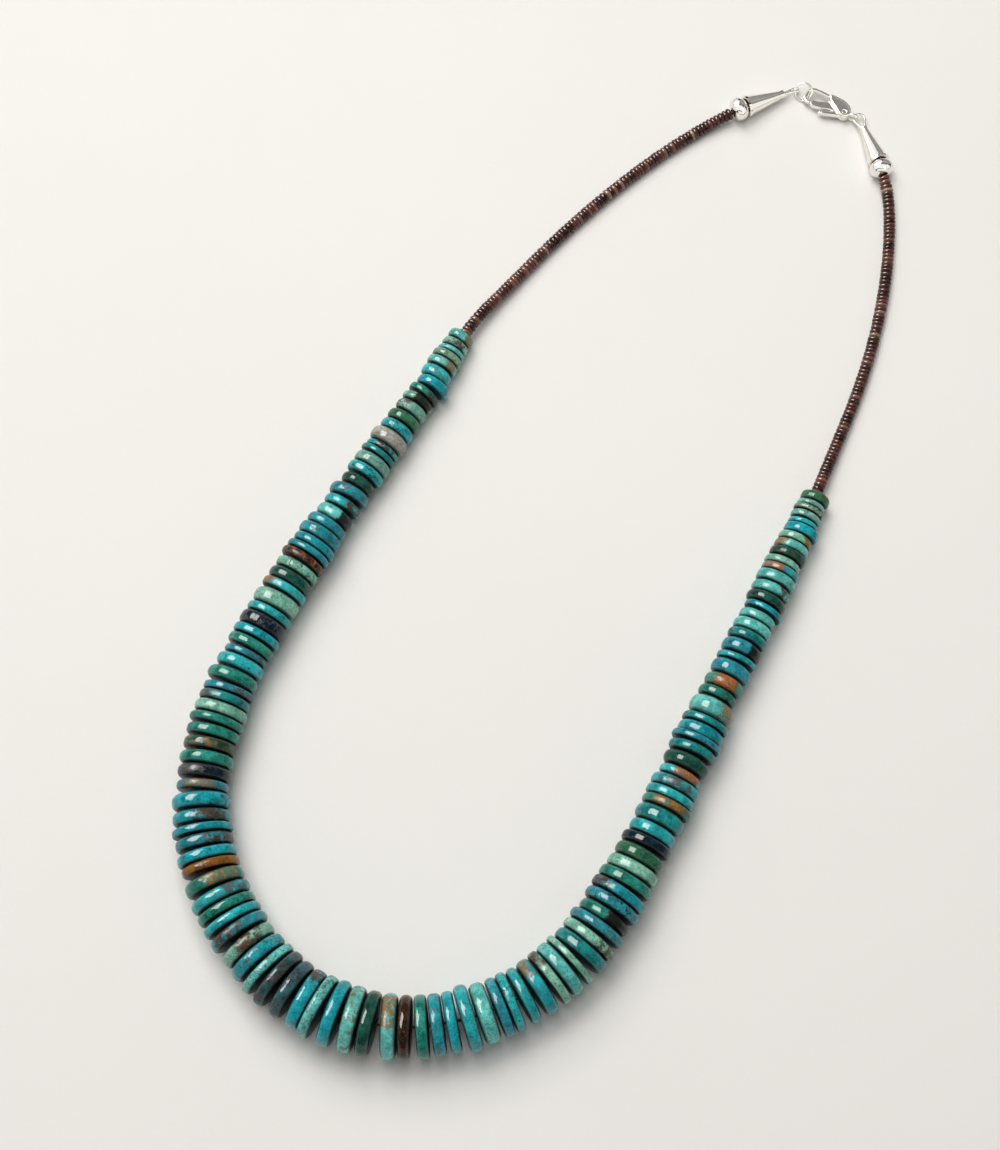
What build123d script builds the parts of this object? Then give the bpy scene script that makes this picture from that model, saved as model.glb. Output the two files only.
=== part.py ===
from build123d import *
import os
from math import asin, cos, pi, radians, sin, tan
from typing import NamedTuple

# A turquoise necklace laid flat in an open loop: graded turquoise discs in front, a
# strand of small shell discs on each side, and a silver bead, cone, wire eye and clasp
# at the back. Sizes are in millimetres. The loop lies on the plane z = 0 and the
# origin is the bottom centre of the whole necklace.

# Turquoise discs
disc_thickness = 2.2        # a disc whose thickness share is 1
end_disc_diameter = 5.9     # grading at both ends of the turquoise
front_disc_diameter = 12.5  # grading at the middle disc
disc_bore = 1.2
disc_gap = 0.12             # between neighbours, where they come closest
rim_round_share = 0.36      # of the disc's own thickness
hang_share = 0.5            # of the thread's play in a bore, where a disc hangs on it
middle_disc = 66            # place in the string of the disc at the front
middle_share = 0.5187       # where along the thread the middle disc sits
own_node_first = 47         # the front discs are pieces of their own
own_node_last = 86

# Thread and shell strands
thread_diameter = 0.5
shell_diameter = 2.6
shell_bore = 1.0
strand_gap = 0.15           # from a strand to the bead at each of its ends

# Silver beads
bead_diameter = 5.1
bead_length = 3.4
bead_bore = 1.2
bead_seat_depth = 0.15      # how far a bead nests in a cone's mouth

# End cones
cone_length = 9.2
cone_mouth_diameter = 4.5
cone_lip_diameter = 4.8
cone_lip_length = 0.5
cone_tip_diameter = 1.8
cone_wall = 0.4
cone_tip_length = 0.8

# Wire eyes
eye_wire = 0.5
eye_length = 3.7            # from the cone's tip to the far centre line of the eye
left_eye_width = 1.7        # between the centre lines of its two sides
right_eye_width = 2.7
eye_taper = 1.25            # length of the widening, as a share of the eye's width
eye_parting = 0.5           # where the wires part, as a share of the way to the widening
eye_nose = 0.6              # width of the eye's far side, as a share of its own
eye_tail = 3.9              # how far the two wires run back into the cone
eye_tail_gap = 0.1          # between the two wires there
eye_knot_diameter = 1.9     # holds the wires behind the cone's tip
thread_end_gap = 0.3        # from the knot to the thread's end

# Jump ring
ring_outer_diameter = 4.2
ring_wire = 0.5
ring_tilt = 42.0            # degrees, its lever side down
ring_height = 1.52
ring_across = -0.9          # towards the clasp's back, from the rivet's line
left_hold_angle = 10.0      # degrees round the ring from its far end to the left eye

# Clasp, measured along it from the rivet and across it towards the lever's side
clasp_thickness = 2.4
clasp_height = 1.4          # of its middle plane
hook_reach = 9.65           # rivet to the hook's far end
hook_wire = 0.96
back_depth = 2.85           # rivet's line to the outside of the clasp's back
lever_depth = 1.4           # rivet's line to the outside of the lever's gate
channel_width = 1.0
lever_thickness = 0.84
rivet_diameter = 0.7
rivet_clearance = 0.04
hub_radius = 0.85
cast_round = 0.35           # of the housing's rims
lever_round = 0.1           # of the lever's rims
moving_clearance = 0.12     # round the lever in its channel
nub_diameter = 0.8
tail_ring_diameter = 2.6
tail_ring_wire = 0.6
gate_travel = 10.0          # degrees, inwards
ring_play = 0.35            # jump ring to the inside of the hook
eye_play = 0.15             # jump ring to the inside of the left eye
right_eye_reach = 2.6       # from the cone's tip to the tail ring's wire
right_eye_slack = 0.25      # how far that wire is off the eye's middle, as a share of its play

# Where the clasp lies, and the way each half of the thread leaves it
clasp_x = 63.3
clasp_y = 95.7
clasp_heading = 151.5       # degrees, from the rivet towards the hook
left_cone_heading = 23.6    # degrees, from the cone's mouth to its tip
right_cone_heading = 107.0
tail_ring_heading = 185.0   # from the clasp's own line, outwards along the tail ring

# How every path and cut is made
corner_share = 0.45         # of the shorter run beside a corner, taken by its arc
through = 2.0               # length of a drill, as a share of what it goes through


class RoutePoint(NamedTuple):
    """One chosen point of the bead thread: its plan place, and its lift as a share
    of the rise from the shell strands' centre to the largest disc's centre."""
    x: float
    y: float
    lift: float


ROUTE = [
    RoutePoint(33.0, 92.5, 0.00), RoutePoint(22.5, 85.2, 0.00), RoutePoint(11.2, 75.6, 0.00),
    RoutePoint(0.7, 65.4, 0.00), RoutePoint(-9.3, 54.2, 0.05), RoutePoint(-17.9, 44.3, 0.32),
    RoutePoint(-25.3, 31.1, 0.45), RoutePoint(-33.3, 18.9, 0.54), RoutePoint(-41.2, 6.6, 0.58),
    RoutePoint(-49.2, -5.9, 0.68), RoutePoint(-56.3, -18.3, 0.72), RoutePoint(-62.5, -31.0, 0.78),
    RoutePoint(-66.7, -44.5, 0.82), RoutePoint(-67.8, -57.0, 0.88), RoutePoint(-65.4, -68.9, 0.91),
    RoutePoint(-59.6, -80.0, 0.94), RoutePoint(-51.3, -89.5, 0.96), RoutePoint(-40.5, -95.6, 1.00),
    RoutePoint(-28.6, -97.7, 0.97), RoutePoint(-16.7, -96.0, 0.94), RoutePoint(-5.6, -91.4, 0.91),
    RoutePoint(3.8, -83.7, 0.90), RoutePoint(10.8, -73.9, 0.88), RoutePoint(17.4, -62.3, 0.80),
    RoutePoint(24.0, -49.4, 0.73), RoutePoint(30.5, -36.2, 0.67), RoutePoint(37.4, -23.1, 0.60),
    RoutePoint(44.5, -9.3, 0.54), RoutePoint(51.2, 4.3, 0.38), RoutePoint(57.2, 17.8, 0.02),
    RoutePoint(63.1, 31.3, 0.00), RoutePoint(67.7, 45.2, 0.00), RoutePoint(70.8, 59.6, 0.00),
    RoutePoint(72.1, 74.0, 0.00),
]


class Disc(NamedTuple):
    """One turquoise disc: thickness and diameter as shares of the standard thickness
    and of the grading there, its shift outwards as a share of its own radius, and its
    lean in degrees about the upright."""
    thickness: float
    width: float
    shift: float
    lean: float


DISCS = [
    Disc(0.95, 0.94, 0.00, 0), Disc(0.80, 0.96, 0.00, 0), Disc(0.50, 0.96, 0.00, 2),
    Disc(0.80, 1.04, 0.00, 0), Disc(0.85, 1.04, 0.00, 0), Disc(1.20, 1.00, 0.00, 0),
    Disc(1.05, 1.08, -0.24, 0), Disc(0.70, 1.02, -0.05, -5), Disc(0.85, 1.00, 0.00, 0),
    Disc(1.15, 0.96, 0.00, 0), Disc(1.05, 1.00, 0.00, 2), Disc(1.05, 1.00, 0.00, 0),
    Disc(1.45, 1.08, 0.00, 0), Disc(0.55, 0.96, 0.00, 0), Disc(0.60, 1.02, 0.00, -2),
    Disc(1.10, 1.00, 0.00, 0), Disc(1.05, 1.00, 0.00, 0), Disc(1.10, 0.90, 0.00, 2),
    Disc(1.15, 1.02, 0.05, 7), Disc(0.95, 0.94, 0.00, 3), Disc(1.25, 0.94, 0.00, 0),
    Disc(1.00, 1.00, 0.04, 0), Disc(1.15, 1.06, 0.00, 0), Disc(0.85, 1.06, -0.05, 0),
    Disc(0.70, 1.06, 0.00, 0), Disc(0.80, 1.06, 0.00, -2), Disc(0.95, 1.00, 0.00, 0),
    Disc(1.15, 1.00, 0.00, 0), Disc(0.85, 1.00, 0.00, 0), Disc(1.50, 1.00, 0.00, 2),
    Disc(0.80, 0.98, 0.00, 0), Disc(1.30, 1.00, 0.00, 0), Disc(0.85, 1.00, 0.00, 0),
    Disc(0.95, 0.98, 0.00, -2), Disc(0.65, 0.90, 0.00, 0), Disc(1.20, 0.96, 0.00, 0),
    Disc(1.25, 1.00, 0.05, 0), Disc(0.65, 0.98, 0.00, 3), Disc(0.85, 0.98, 0.00, 0),
    Disc(1.05, 1.00, 0.00, 0), Disc(0.80, 1.02, 0.00, 0), Disc(1.00, 0.98, 0.00, 0),
    Disc(1.00, 0.96, 0.00, 0), Disc(1.15, 0.96, 0.00, 0), Disc(1.10, 0.94, 0.00, -2),
    Disc(0.85, 0.90, 0.00, 0), Disc(1.35, 1.00, 0.00, 2), Disc(1.15, 0.98, 0.00, 0),
    Disc(0.70, 1.02, 0.00, 0), Disc(1.10, 0.98, 0.00, 0), Disc(0.95, 1.00, 0.00, 0),
    Disc(0.85, 0.96, -0.03, -3), Disc(1.20, 0.98, 0.00, 0), Disc(1.15, 1.00, 0.00, 0),
    Disc(0.90, 0.98, 0.00, 0), Disc(0.90, 1.00, 0.00, 0), Disc(1.00, 1.00, 0.00, 0),
    Disc(1.25, 0.94, 0.00, 2), Disc(1.25, 0.96, 0.00, 0), Disc(0.85, 1.00, 0.00, 0),
    Disc(1.10, 1.00, 0.00, 0), Disc(1.20, 0.98, 0.00, 0), Disc(1.25, 0.96, 0.00, 0),
    Disc(1.00, 1.02, 0.03, -2), Disc(1.20, 1.02, 0.00, 0), Disc(1.30, 1.00, 0.00, 0),
    Disc(1.20, 0.98, 0.00, -3), Disc(1.35, 0.98, 0.00, 3), Disc(1.10, 0.96, 0.00, -2),
    Disc(1.05, 0.96, 0.00, 0), Disc(1.10, 0.94, 0.00, 0), Disc(1.00, 0.96, 0.00, 0),
    Disc(1.20, 1.04, 0.00, 2), Disc(1.40, 0.96, 0.00, 0), Disc(0.95, 0.96, 0.00, 0),
    Disc(0.85, 0.98, 0.00, -2), Disc(1.00, 0.96, 0.00, 0), Disc(1.25, 0.98, 0.00, 0),
    Disc(0.85, 1.00, 0.00, 0), Disc(1.20, 1.00, 0.00, 0), Disc(0.60, 1.02, 0.00, 0),
    Disc(1.20, 1.02, 0.04, 3), Disc(1.00, 1.00, 0.00, 0), Disc(0.95, 1.04, 0.00, 0),
    Disc(1.10, 0.96, 0.00, 0), Disc(1.05, 1.04, 0.00, 0), Disc(0.95, 1.04, 0.00, -2),
    Disc(1.05, 1.02, 0.00, 0), Disc(1.15, 0.98, 0.00, 0), Disc(1.30, 0.94, 0.00, 0),
    Disc(0.90, 0.96, 0.00, 2), Disc(1.15, 0.90, 0.00, 0), Disc(1.45, 0.96, 0.00, 0),
    Disc(0.85, 1.00, 0.05, 0), Disc(0.85, 0.98, 0.00, 0), Disc(1.05, 1.00, 0.00, 0),
    Disc(0.85, 0.88, 0.00, -2), Disc(1.35, 0.96, 0.00, 0), Disc(0.90, 1.00, 0.00, 2),
    Disc(0.60, 1.08, 0.00, 0), Disc(1.10, 1.00, 0.00, 0), Disc(0.65, 1.04, 0.00, 0),
    Disc(1.80, 1.00, 0.00, -2), Disc(0.90, 0.88, -0.06, 0), Disc(1.30, 0.92, 0.00, 0),
    Disc(1.35, 0.94, 0.00, 0), Disc(0.60, 0.96, 0.00, 3), Disc(1.30, 0.98, 0.00, 0),
    Disc(0.95, 1.00, 0.00, 0), Disc(1.05, 0.98, 0.00, 0), Disc(0.90, 0.94, 0.00, 0),
    Disc(0.55, 1.04, 0.10, -4), Disc(0.95, 1.06, 0.00, 0), Disc(1.05, 1.06, 0.00, 0),
    Disc(1.05, 1.10, 0.00, 0), Disc(0.70, 1.08, 0.00, 0), Disc(0.70, 1.04, -0.08, 2),
    Disc(0.85, 1.08, 0.00, 0), Disc(0.85, 1.04, 0.00, 0), Disc(0.75, 1.04, 0.00, 0),
    Disc(0.95, 1.10, 0.12, 0), Disc(0.50, 0.96, 0.00, 3), Disc(0.70, 1.00, 0.00, 0),
    Disc(0.50, 1.02, 0.00, -2), Disc(0.50, 0.96, 0.00, 0), Disc(0.90, 1.02, 0.08, 0),
]


class ClaspPoint(NamedTuple):
    """A point of the clasp: its place along it as a share of the hook's reach, and
    across it as a share of the back's depth (minus) or the lever's depth (plus)."""
    along: float
    across: float


HOUSING = [
    ClaspPoint(-0.06, 0.80), ClaspPoint(0.10, 0.62), ClaspPoint(0.26, -0.05),
    ClaspPoint(0.38, -0.36), ClaspPoint(0.44, -0.62), ClaspPoint(0.47, -0.93),
    ClaspPoint(0.28, -1.00), ClaspPoint(0.10, -0.96), ClaspPoint(-0.06, -0.74),
    ClaspPoint(-0.135, -0.36), ClaspPoint(-0.14, 0.10),
]
HOOK_LINE = [
    ClaspPoint(0.30, -0.82), ClaspPoint(0.62, -0.88), ClaspPoint(0.86, -0.86),
    ClaspPoint(0.945, -0.44), ClaspPoint(0.945, 0.26), ClaspPoint(0.85, 0.54),
]
CHANNEL = [
    ClaspPoint(-0.02, 1.30), ClaspPoint(0.60, 1.30), ClaspPoint(0.60, -0.66),
    ClaspPoint(0.12, -0.66), ClaspPoint(-0.02, -0.34),
]
GATE = [
    ClaspPoint(0.02, -0.25), ClaspPoint(0.30, -0.36), ClaspPoint(0.44, -0.32),
    ClaspPoint(0.58, -0.06), ClaspPoint(0.775, 0.20), ClaspPoint(0.775, 0.86),
    ClaspPoint(0.68, 1.00), ClaspPoint(0.50, 0.80), ClaspPoint(0.29, 0.28),
    ClaspPoint(0.05, 0.55),
]
TRIGGER = [
    ClaspPoint(0.00, -0.20), ClaspPoint(0.20, 0.32), ClaspPoint(0.44, 1.10),
    ClaspPoint(0.48, 1.35), ClaspPoint(0.40, 1.55), ClaspPoint(0.10, 0.80),
    ClaspPoint(-0.06, 0.45),
]
NUB = ClaspPoint(0.475, 1.42)
TAIL_RING = ClaspPoint(-0.225, -0.12)

# How an eye sits on the wire it holds: along from the cone's tip, and aside
left_eye_reach = eye_length - (eye_wire + ring_wire) / 2 - eye_play
right_eye_aside = right_eye_slack * (right_eye_width - eye_wire - tail_ring_wire)

UP = Vector(0, 0, 1)


def flat_direction(degrees):
    """The level direction at an angle from +X."""
    return Vector(cos(radians(degrees)), sin(radians(degrees)), 0)


# The clasp's own frame: X from the rivet to the hook, Y towards the lever's side
clasp_plane = Plane(
    origin=(clasp_x, clasp_y, clasp_height),
    x_dir=flat_direction(clasp_heading),
    z_dir=UP,
)


def clasp_xy(point):
    """The clasp frame's X and Y of a point given in shares."""
    depth = back_depth if point.across < 0 else lever_depth
    return (point.along * hook_reach, point.across * depth)


def round_wire(path, diameter, bore=0.0):
    """A round bar, or a tube with a bore, along a path."""
    section = Circle(diameter / 2)
    if bore > 0:
        section = section - Circle(bore / 2)
    start = Plane(origin=path @ 0, z_dir=path % 0)
    return sweep(start * section, path=path)


def corner_radius(before, corner, after):
    """The largest arc that a corner's two runs allow."""
    run = min((corner - before).length, (after - corner).length)
    turn = (corner - before).get_angle(after - corner)
    return corner_share * run / tan(radians(turn / 2))


def cord_radii(points):
    """The arc at each inner corner of an open route."""
    corners = zip(points, points[1:], points[2:])
    return [corner_radius(*corner) for corner in corners]


def smooth_path(points):
    """Straight runs joined by tangent arcs, as large as the runs allow."""
    return FilletPolyline(*points, radius=cord_radii(points))


def smooth_outline(points):
    """A closed outline whose corners are arcs, as large as their sides allow."""
    before = points[-1:] + points[:-1]
    after = points[1:] + points[:1]
    radii = [corner_radius(*corner) for corner in zip(before, points, after)]
    return FilletPolyline(*points, radius=radii, close=True)


def turned(profile):
    """A solid of revolution about its own Z from lines that close a profile."""
    return revolve(Plane.XZ * make_face(profile), axis=Axis.Z)


# Jump ring and tail ring

ring_radius = (ring_outer_diameter - ring_wire) / 2
ring_along = hook_reach - hook_wire - ring_play - ring_wire / 2 + ring_radius
ring_centre = clasp_plane.from_local_coords(
    Vector(ring_along, ring_across, ring_height - clasp_height))
ring_x = clasp_plane.x_dir
ring_y = clasp_plane.y_dir * cos(radians(ring_tilt)) - UP * sin(radians(ring_tilt))
tail_ring_radius = (tail_ring_diameter - tail_ring_wire) / 2
tail_ring_local = Vector(*clasp_xy(TAIL_RING))
tail_ring_out = flat_direction(tail_ring_heading)


def jump_ring():
    """The round ring that joins the left eye to the clasp's hook."""
    plane = Plane(origin=ring_centre, x_dir=ring_x, z_dir=ring_x.cross(ring_y))
    return plane * Torus(ring_radius, ring_wire / 2)


# The wires that the two eyes hold

left_hold = (ring_centre
             + ring_x * (ring_radius * cos(radians(left_hold_angle)))
             + ring_y * (ring_radius * sin(radians(left_hold_angle))))
left_hold_line = (ring_y * cos(radians(left_hold_angle))
                  - ring_x * sin(radians(left_hold_angle)))
right_hold = clasp_plane.from_local_coords(
    tail_ring_local + tail_ring_out * tail_ring_radius)


class ConeEnd(NamedTuple):
    """Where one end cone lies: its tip, the direction of its tip, and the level or
    leaning direction across its eye."""
    tip: Vector
    axis: Vector
    side: Vector


def cone_axis(heading, hold_height, reach):
    """The cone's direction, so that its lip rests where the eye is held at a height."""
    pitch = asin((hold_height - cone_lip_diameter / 2) / (reach + cone_length))
    return flat_direction(heading) * cos(pitch) + UP * sin(pitch)


def left_end():
    """The left cone, whose eye stands square across the jump ring's wire."""
    axis = cone_axis(left_cone_heading, left_hold.Z, left_eye_reach)
    side = axis.cross(left_hold_line).normalized()
    return ConeEnd(left_hold - axis * left_eye_reach, axis, side)


def right_end():
    """The right cone, whose level eye holds the clasp's tail ring in one side."""
    axis = cone_axis(right_cone_heading, right_hold.Z, right_eye_reach)
    side = UP.cross(axis).normalized()
    return ConeEnd(right_hold - axis * right_eye_reach - side * right_eye_aside, axis, side)


LEFT = left_end()
RIGHT = right_end()


def cone_base(end):
    """The centre of a cone's mouth."""
    return end.tip - end.axis * cone_length


def knot_centre(end):
    """The centre of the knot that holds an eye behind the cone's tip."""
    return end.tip - end.axis * eye_tail


def thread_end(end):
    """Where the thread ends, just short of the knot."""
    return knot_centre(end) - end.axis * (eye_knot_diameter / 2 + thread_end_gap)


def bead_corner(end):
    """Where the thread turns, in the silver bead that nests in a cone's mouth."""
    place = cone_base(end) - end.axis * (bead_length / 2 - bead_seat_depth)
    return Vector(place.X, place.Y, bead_diameter / 2)


# The thread's route

def lifted(point):
    """A route point as a place in space."""
    low = shell_diameter / 2
    high = front_disc_diameter / 2
    return Vector(point.x, point.y, low + point.lift * (high - low))


def route_points():
    """The thread's corners, from inside the left cone to inside the right one."""
    first = [thread_end(LEFT), bead_corner(LEFT)]
    last = [bead_corner(RIGHT), thread_end(RIGHT)]
    return first + [lifted(point) for point in ROUTE] + last


POINTS = route_points()
THREAD = smooth_path(POINTS)
THREAD_LENGTH = THREAD.length


def along_thread(distance):
    """The place and the direction of the thread at a distance from its left end."""
    share = distance / THREAD_LENGTH
    return (THREAD.position_at(share), THREAD.tangent_at(share))


def thread():
    """The thread that every bead is strung on."""
    return round_wire(THREAD, thread_diameter)


# Turquoise discs

def grading(number):
    """The standard diameter at a disc's place in the string, counted from 1."""
    if number <= middle_disc:
        share = (number - 1) / (middle_disc - 1)
    else:
        share = (len(DISCS) - number) / (len(DISCS) - middle_disc)
    share = (share + sin(pi / 2 * share)) / 2
    return end_disc_diameter + (front_disc_diameter - end_disc_diameter) * share


def disc_radius(number):
    return grading(number) * DISCS[number - 1].width / 2


def disc_width(number):
    return disc_thickness * DISCS[number - 1].thickness


def disc_axis(number, distance):
    """The level direction of a disc's bore at a place on the thread."""
    direction = along_thread(distance)[1]
    level = Vector(direction.X, direction.Y, 0).normalized()
    return level.rotate(Axis.Z, DISCS[number - 1].lean)


def spacing(number, neighbour, distance):
    """Thread length from one disc's middle to the next, so that their rims stay clear."""
    width = (disc_width(number) + disc_width(neighbour)) / 2
    away = distance + width if neighbour > number else distance - width
    turn = disc_axis(number, distance).get_angle(disc_axis(neighbour, away))
    reach = min(disc_radius(number), disc_radius(neighbour))
    return width + disc_gap + reach * sin(radians(turn))


def disc_stations():
    """The distance along the thread of every disc, from the middle disc outwards."""
    stations = {middle_disc: THREAD_LENGTH * middle_share}
    for number in range(middle_disc, len(DISCS)):
        place = stations[number]
        stations[number + 1] = place + spacing(number, number + 1, place)
    for number in range(middle_disc, 1, -1):
        place = stations[number]
        stations[number - 1] = place - spacing(number, number - 1, place)
    return stations


STATIONS = disc_stations()


def turquoise_disc(number):
    """One disc with a rounded rim, drilled where the thread passes. It rests on the
    ground, or hangs on the thread where the thread holds it higher."""
    radius = disc_radius(number)
    width = disc_width(number)
    place, _ = along_thread(STATIONS[number])
    axis = disc_axis(number, STATIONS[number])
    outward = axis.cross(UP)
    play = (disc_bore - thread_diameter) / 2
    height = max(radius, place.Z - hang_share * play)
    shift = radius * DISCS[number - 1].shift
    blank = Cylinder(radius, width)
    blank = fillet(blank.edges().filter_by(GeomType.CIRCLE), rim_round_share * width)
    centre = Vector(place.X, place.Y, height) + outward * shift
    blank = Plane(origin=centre, x_dir=UP, z_dir=axis) * blank
    bore = Plane(origin=place, x_dir=UP, z_dir=axis) * Cylinder(disc_bore / 2, through * width)
    return blank - bore


# Shell strands

def strand_path(start, end):
    """The stretch of the thread between two distances from its left end."""
    return THREAD.trim(start / THREAD_LENGTH, end / THREAD_LENGTH)


def bead_distance(end):
    """Thread length from the thread's end to the middle of the silver bead."""
    return (bead_corner(end) - thread_end(end)).length


def strand(start, end):
    """A strand of small shell discs as one round tube about the thread."""
    return round_wire(strand_path(start, end), shell_diameter, shell_bore)


def left_strand():
    start = bead_distance(LEFT) + bead_length / 2 + strand_gap
    return strand(start, STATIONS[1] - disc_width(1) / 2 - strand_gap)


def right_strand():
    last = len(DISCS)
    end = THREAD_LENGTH - bead_distance(RIGHT) - bead_length / 2 - strand_gap
    return strand(STATIONS[last] + disc_width(last) / 2 + strand_gap, end)


# Silver ends

def silver_bead(distance):
    """An oblate bead, drilled, resting on the ground at a cone's mouth."""
    place, direction = along_thread(distance)
    half = bead_length / 2
    bore = bead_bore / 2
    side = ThreePointArc((bore, -half), (bead_diameter / 2, 0), (bore, half))
    wall = Line((bore, half), (bore, -half))
    centre = Vector(place.X, place.Y, max(place.Z, bead_diameter / 2))
    return Plane(origin=centre, z_dir=direction) * turned(side + wall)


def end_cone(end):
    """A hollow cone with a lip at its mouth and a short straight tip."""
    mouth = cone_mouth_diameter / 2
    lip = cone_lip_diameter / 2
    tip = cone_tip_diameter / 2
    neck = cone_length - cone_tip_length
    profile = Polyline(
        (mouth - cone_wall, 0), (lip, 0), (lip, cone_lip_length),
        (mouth, cone_lip_length), (tip, neck), (tip, cone_length),
        (tip - cone_wall / 2, cone_length), (tip - cone_wall / 2, neck), close=True)
    return Plane(origin=cone_base(end), z_dir=end.axis) * turned(profile)


def wire_eye(end, width):
    """A teardrop of round wire whose two tails run back through the cone's tip to a
    knot, all of one piece."""
    half = width / 2
    parting = eye_parting * (eye_length - eye_taper * width)
    tail = (eye_wire + eye_tail_gap) / 2
    side = [
        Vector(-eye_tail, tail), Vector(parting, tail), Vector(eye_length - half, half),
        Vector(eye_length, eye_nose * half),
    ]
    back = [Vector(point.X, -point.Y) for point in reversed(side)]
    loop = round_wire(smooth_path(side + back), eye_wire)
    knot = Pos(-eye_tail, 0, 0) * Sphere(eye_knot_diameter / 2)
    plane = Plane(origin=end.tip, x_dir=end.axis, z_dir=end.axis.cross(end.side))
    return plane * (loop + knot)


# Clasp

def plate(outline, thickness):
    """A flat plate about the clasp's middle plane, from a closed outline."""
    points = [Vector(*clasp_xy(point)) for point in outline]
    return extrude(make_face(smooth_outline(points)), thickness / 2, both=True)


def rounded(solid, radius):
    """A plate with its rims rounded on both flat sides."""
    rims = solid.faces().filter_by(Axis.Z).edges()
    return fillet(rims, radius)


def clasp_body():
    """The hook, the housing with its open channel, and the tail ring, cast as one."""
    housing = rounded(plate(HOUSING, clasp_thickness), cast_round)
    line = [Vector(*clasp_xy(point)) for point in HOOK_LINE]
    hook = round_wire(smooth_path(line), hook_wire)
    hook = hook + Pos(*line[-1]) * Sphere(hook_wire / 2)
    ring_plane = Plane(origin=tail_ring_local, x_dir=tail_ring_out, z_dir=tail_ring_out.cross(UP))
    ring = ring_plane * Torus(tail_ring_radius, tail_ring_wire / 2)
    channel = plate(CHANNEL, channel_width)
    channel = channel + Cylinder(hub_radius + moving_clearance, channel_width)
    hole = Cylinder(rivet_diameter / 2 + rivet_clearance, through * clasp_thickness)
    return clasp_plane * (housing + hook + ring - channel - hole)


def clasp_lever():
    """The gate that closes the hook and the trigger beside it, on one hub."""
    gate = rounded(plate(GATE, lever_thickness), lever_round)
    trigger = rounded(plate(TRIGGER, lever_thickness), lever_round)
    hub = Cylinder(hub_radius, lever_thickness)
    nub = Pos(*clasp_xy(NUB), 0) * Sphere(nub_diameter / 2)
    hole = Cylinder(rivet_diameter / 2 + rivet_clearance, through * lever_thickness)
    return clasp_plane * (gate + trigger + hub + nub - hole)


def clasp_rivet():
    """The pin that the lever turns on, flush with both cheeks."""
    return clasp_plane * Cylinder(rivet_diameter / 2, clasp_thickness)


def disc_string(first, last):
    """A run of the smaller discs as one piece of loose solids."""
    return Compound(children=[turquoise_disc(number) for number in range(first, last + 1)])


def necklace():
    """Every piece by its name."""
    pieces = {
        "bead_thread": thread(),
        "shell_strand_left": left_strand(),
        "shell_strand_right": right_strand(),
        "turquoise_string_left": disc_string(1, own_node_first - 1),
        "turquoise_string_right": disc_string(own_node_last + 1, len(DISCS)),
        "silver_bead_left": silver_bead(bead_distance(LEFT)),
        "silver_bead_right": silver_bead(THREAD_LENGTH - bead_distance(RIGHT)),
        "end_cone_left": end_cone(LEFT),
        "end_cone_right": end_cone(RIGHT),
        "wire_eye_left": wire_eye(LEFT, left_eye_width),
        "wire_eye_right": wire_eye(RIGHT, right_eye_width),
        "jump_ring": jump_ring(),
        "clasp_body": clasp_body(),
        "clasp_lever": clasp_lever(),
        "clasp_rivet": clasp_rivet(),
    }
    for number in range(own_node_first, own_node_last + 1):
        name = f"turquoise_disc_{number - own_node_first + 1:02d}"
        pieces[name] = turquoise_disc(number)
    return pieces


def centring(pieces):
    """The move that brings the bottom centre of all pieces to the origin."""
    boxes = [piece.bounding_box() for piece in pieces.values()]
    low = [min(box.min.X for box in boxes), min(box.min.Y for box in boxes)]
    high = [max(box.max.X for box in boxes), max(box.max.Y for box in boxes)]
    floor = min(box.min.Z for box in boxes)
    return Vector(-(low[0] + high[0]) / 2, -(low[1] + high[1]) / 2, -floor)


PIECES = necklace()
SHIFT = centring(PIECES)
os.makedirs("parts", exist_ok=True)
for name, piece in PIECES.items():
    export_step(Pos(*SHIFT) * piece, f"parts/{name}.step")

print("thread length", round(THREAD_LENGTH, 1))
print("thread radii", [round(radius) for radius in cord_radii(POINTS)])
print("shift", [round(value, 4) for value in SHIFT])
print("rivet", [round(value, 4) for value in clasp_plane.origin + SHIFT])
print("jump ring", [round(value, 4) for value in ring_centre + SHIFT])
print("clasp lever travel", gate_travel)
for label, tube, bore in (("shell_strand_left", shell_diameter, shell_bore),
                          ("shell_strand_right", shell_diameter, shell_bore),
                          ("bead_thread", thread_diameter, 0.0)):
    area = pi / 4 * (tube ** 2 - bore ** 2)
    print(label, "length by volume", round(PIECES[label].volume / area, 2))
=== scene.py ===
"""Dresses a turquoise disc necklace that lies in an open loop on a pale table.

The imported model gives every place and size. This script measures each turquoise disc
there, rebuilds it as a hand-ground stone, strings small shell discs in place of the two
plain tubes, finishes the silver and the thread, and sets the table, lights and camera.
"""

import logging
import math
import random
from collections.abc import Iterable, Mapping
from dataclasses import dataclass, field
from enum import Enum
from typing import NamedTuple

import bmesh
import bpy
from mathutils import Matrix, Vector, noise


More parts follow.
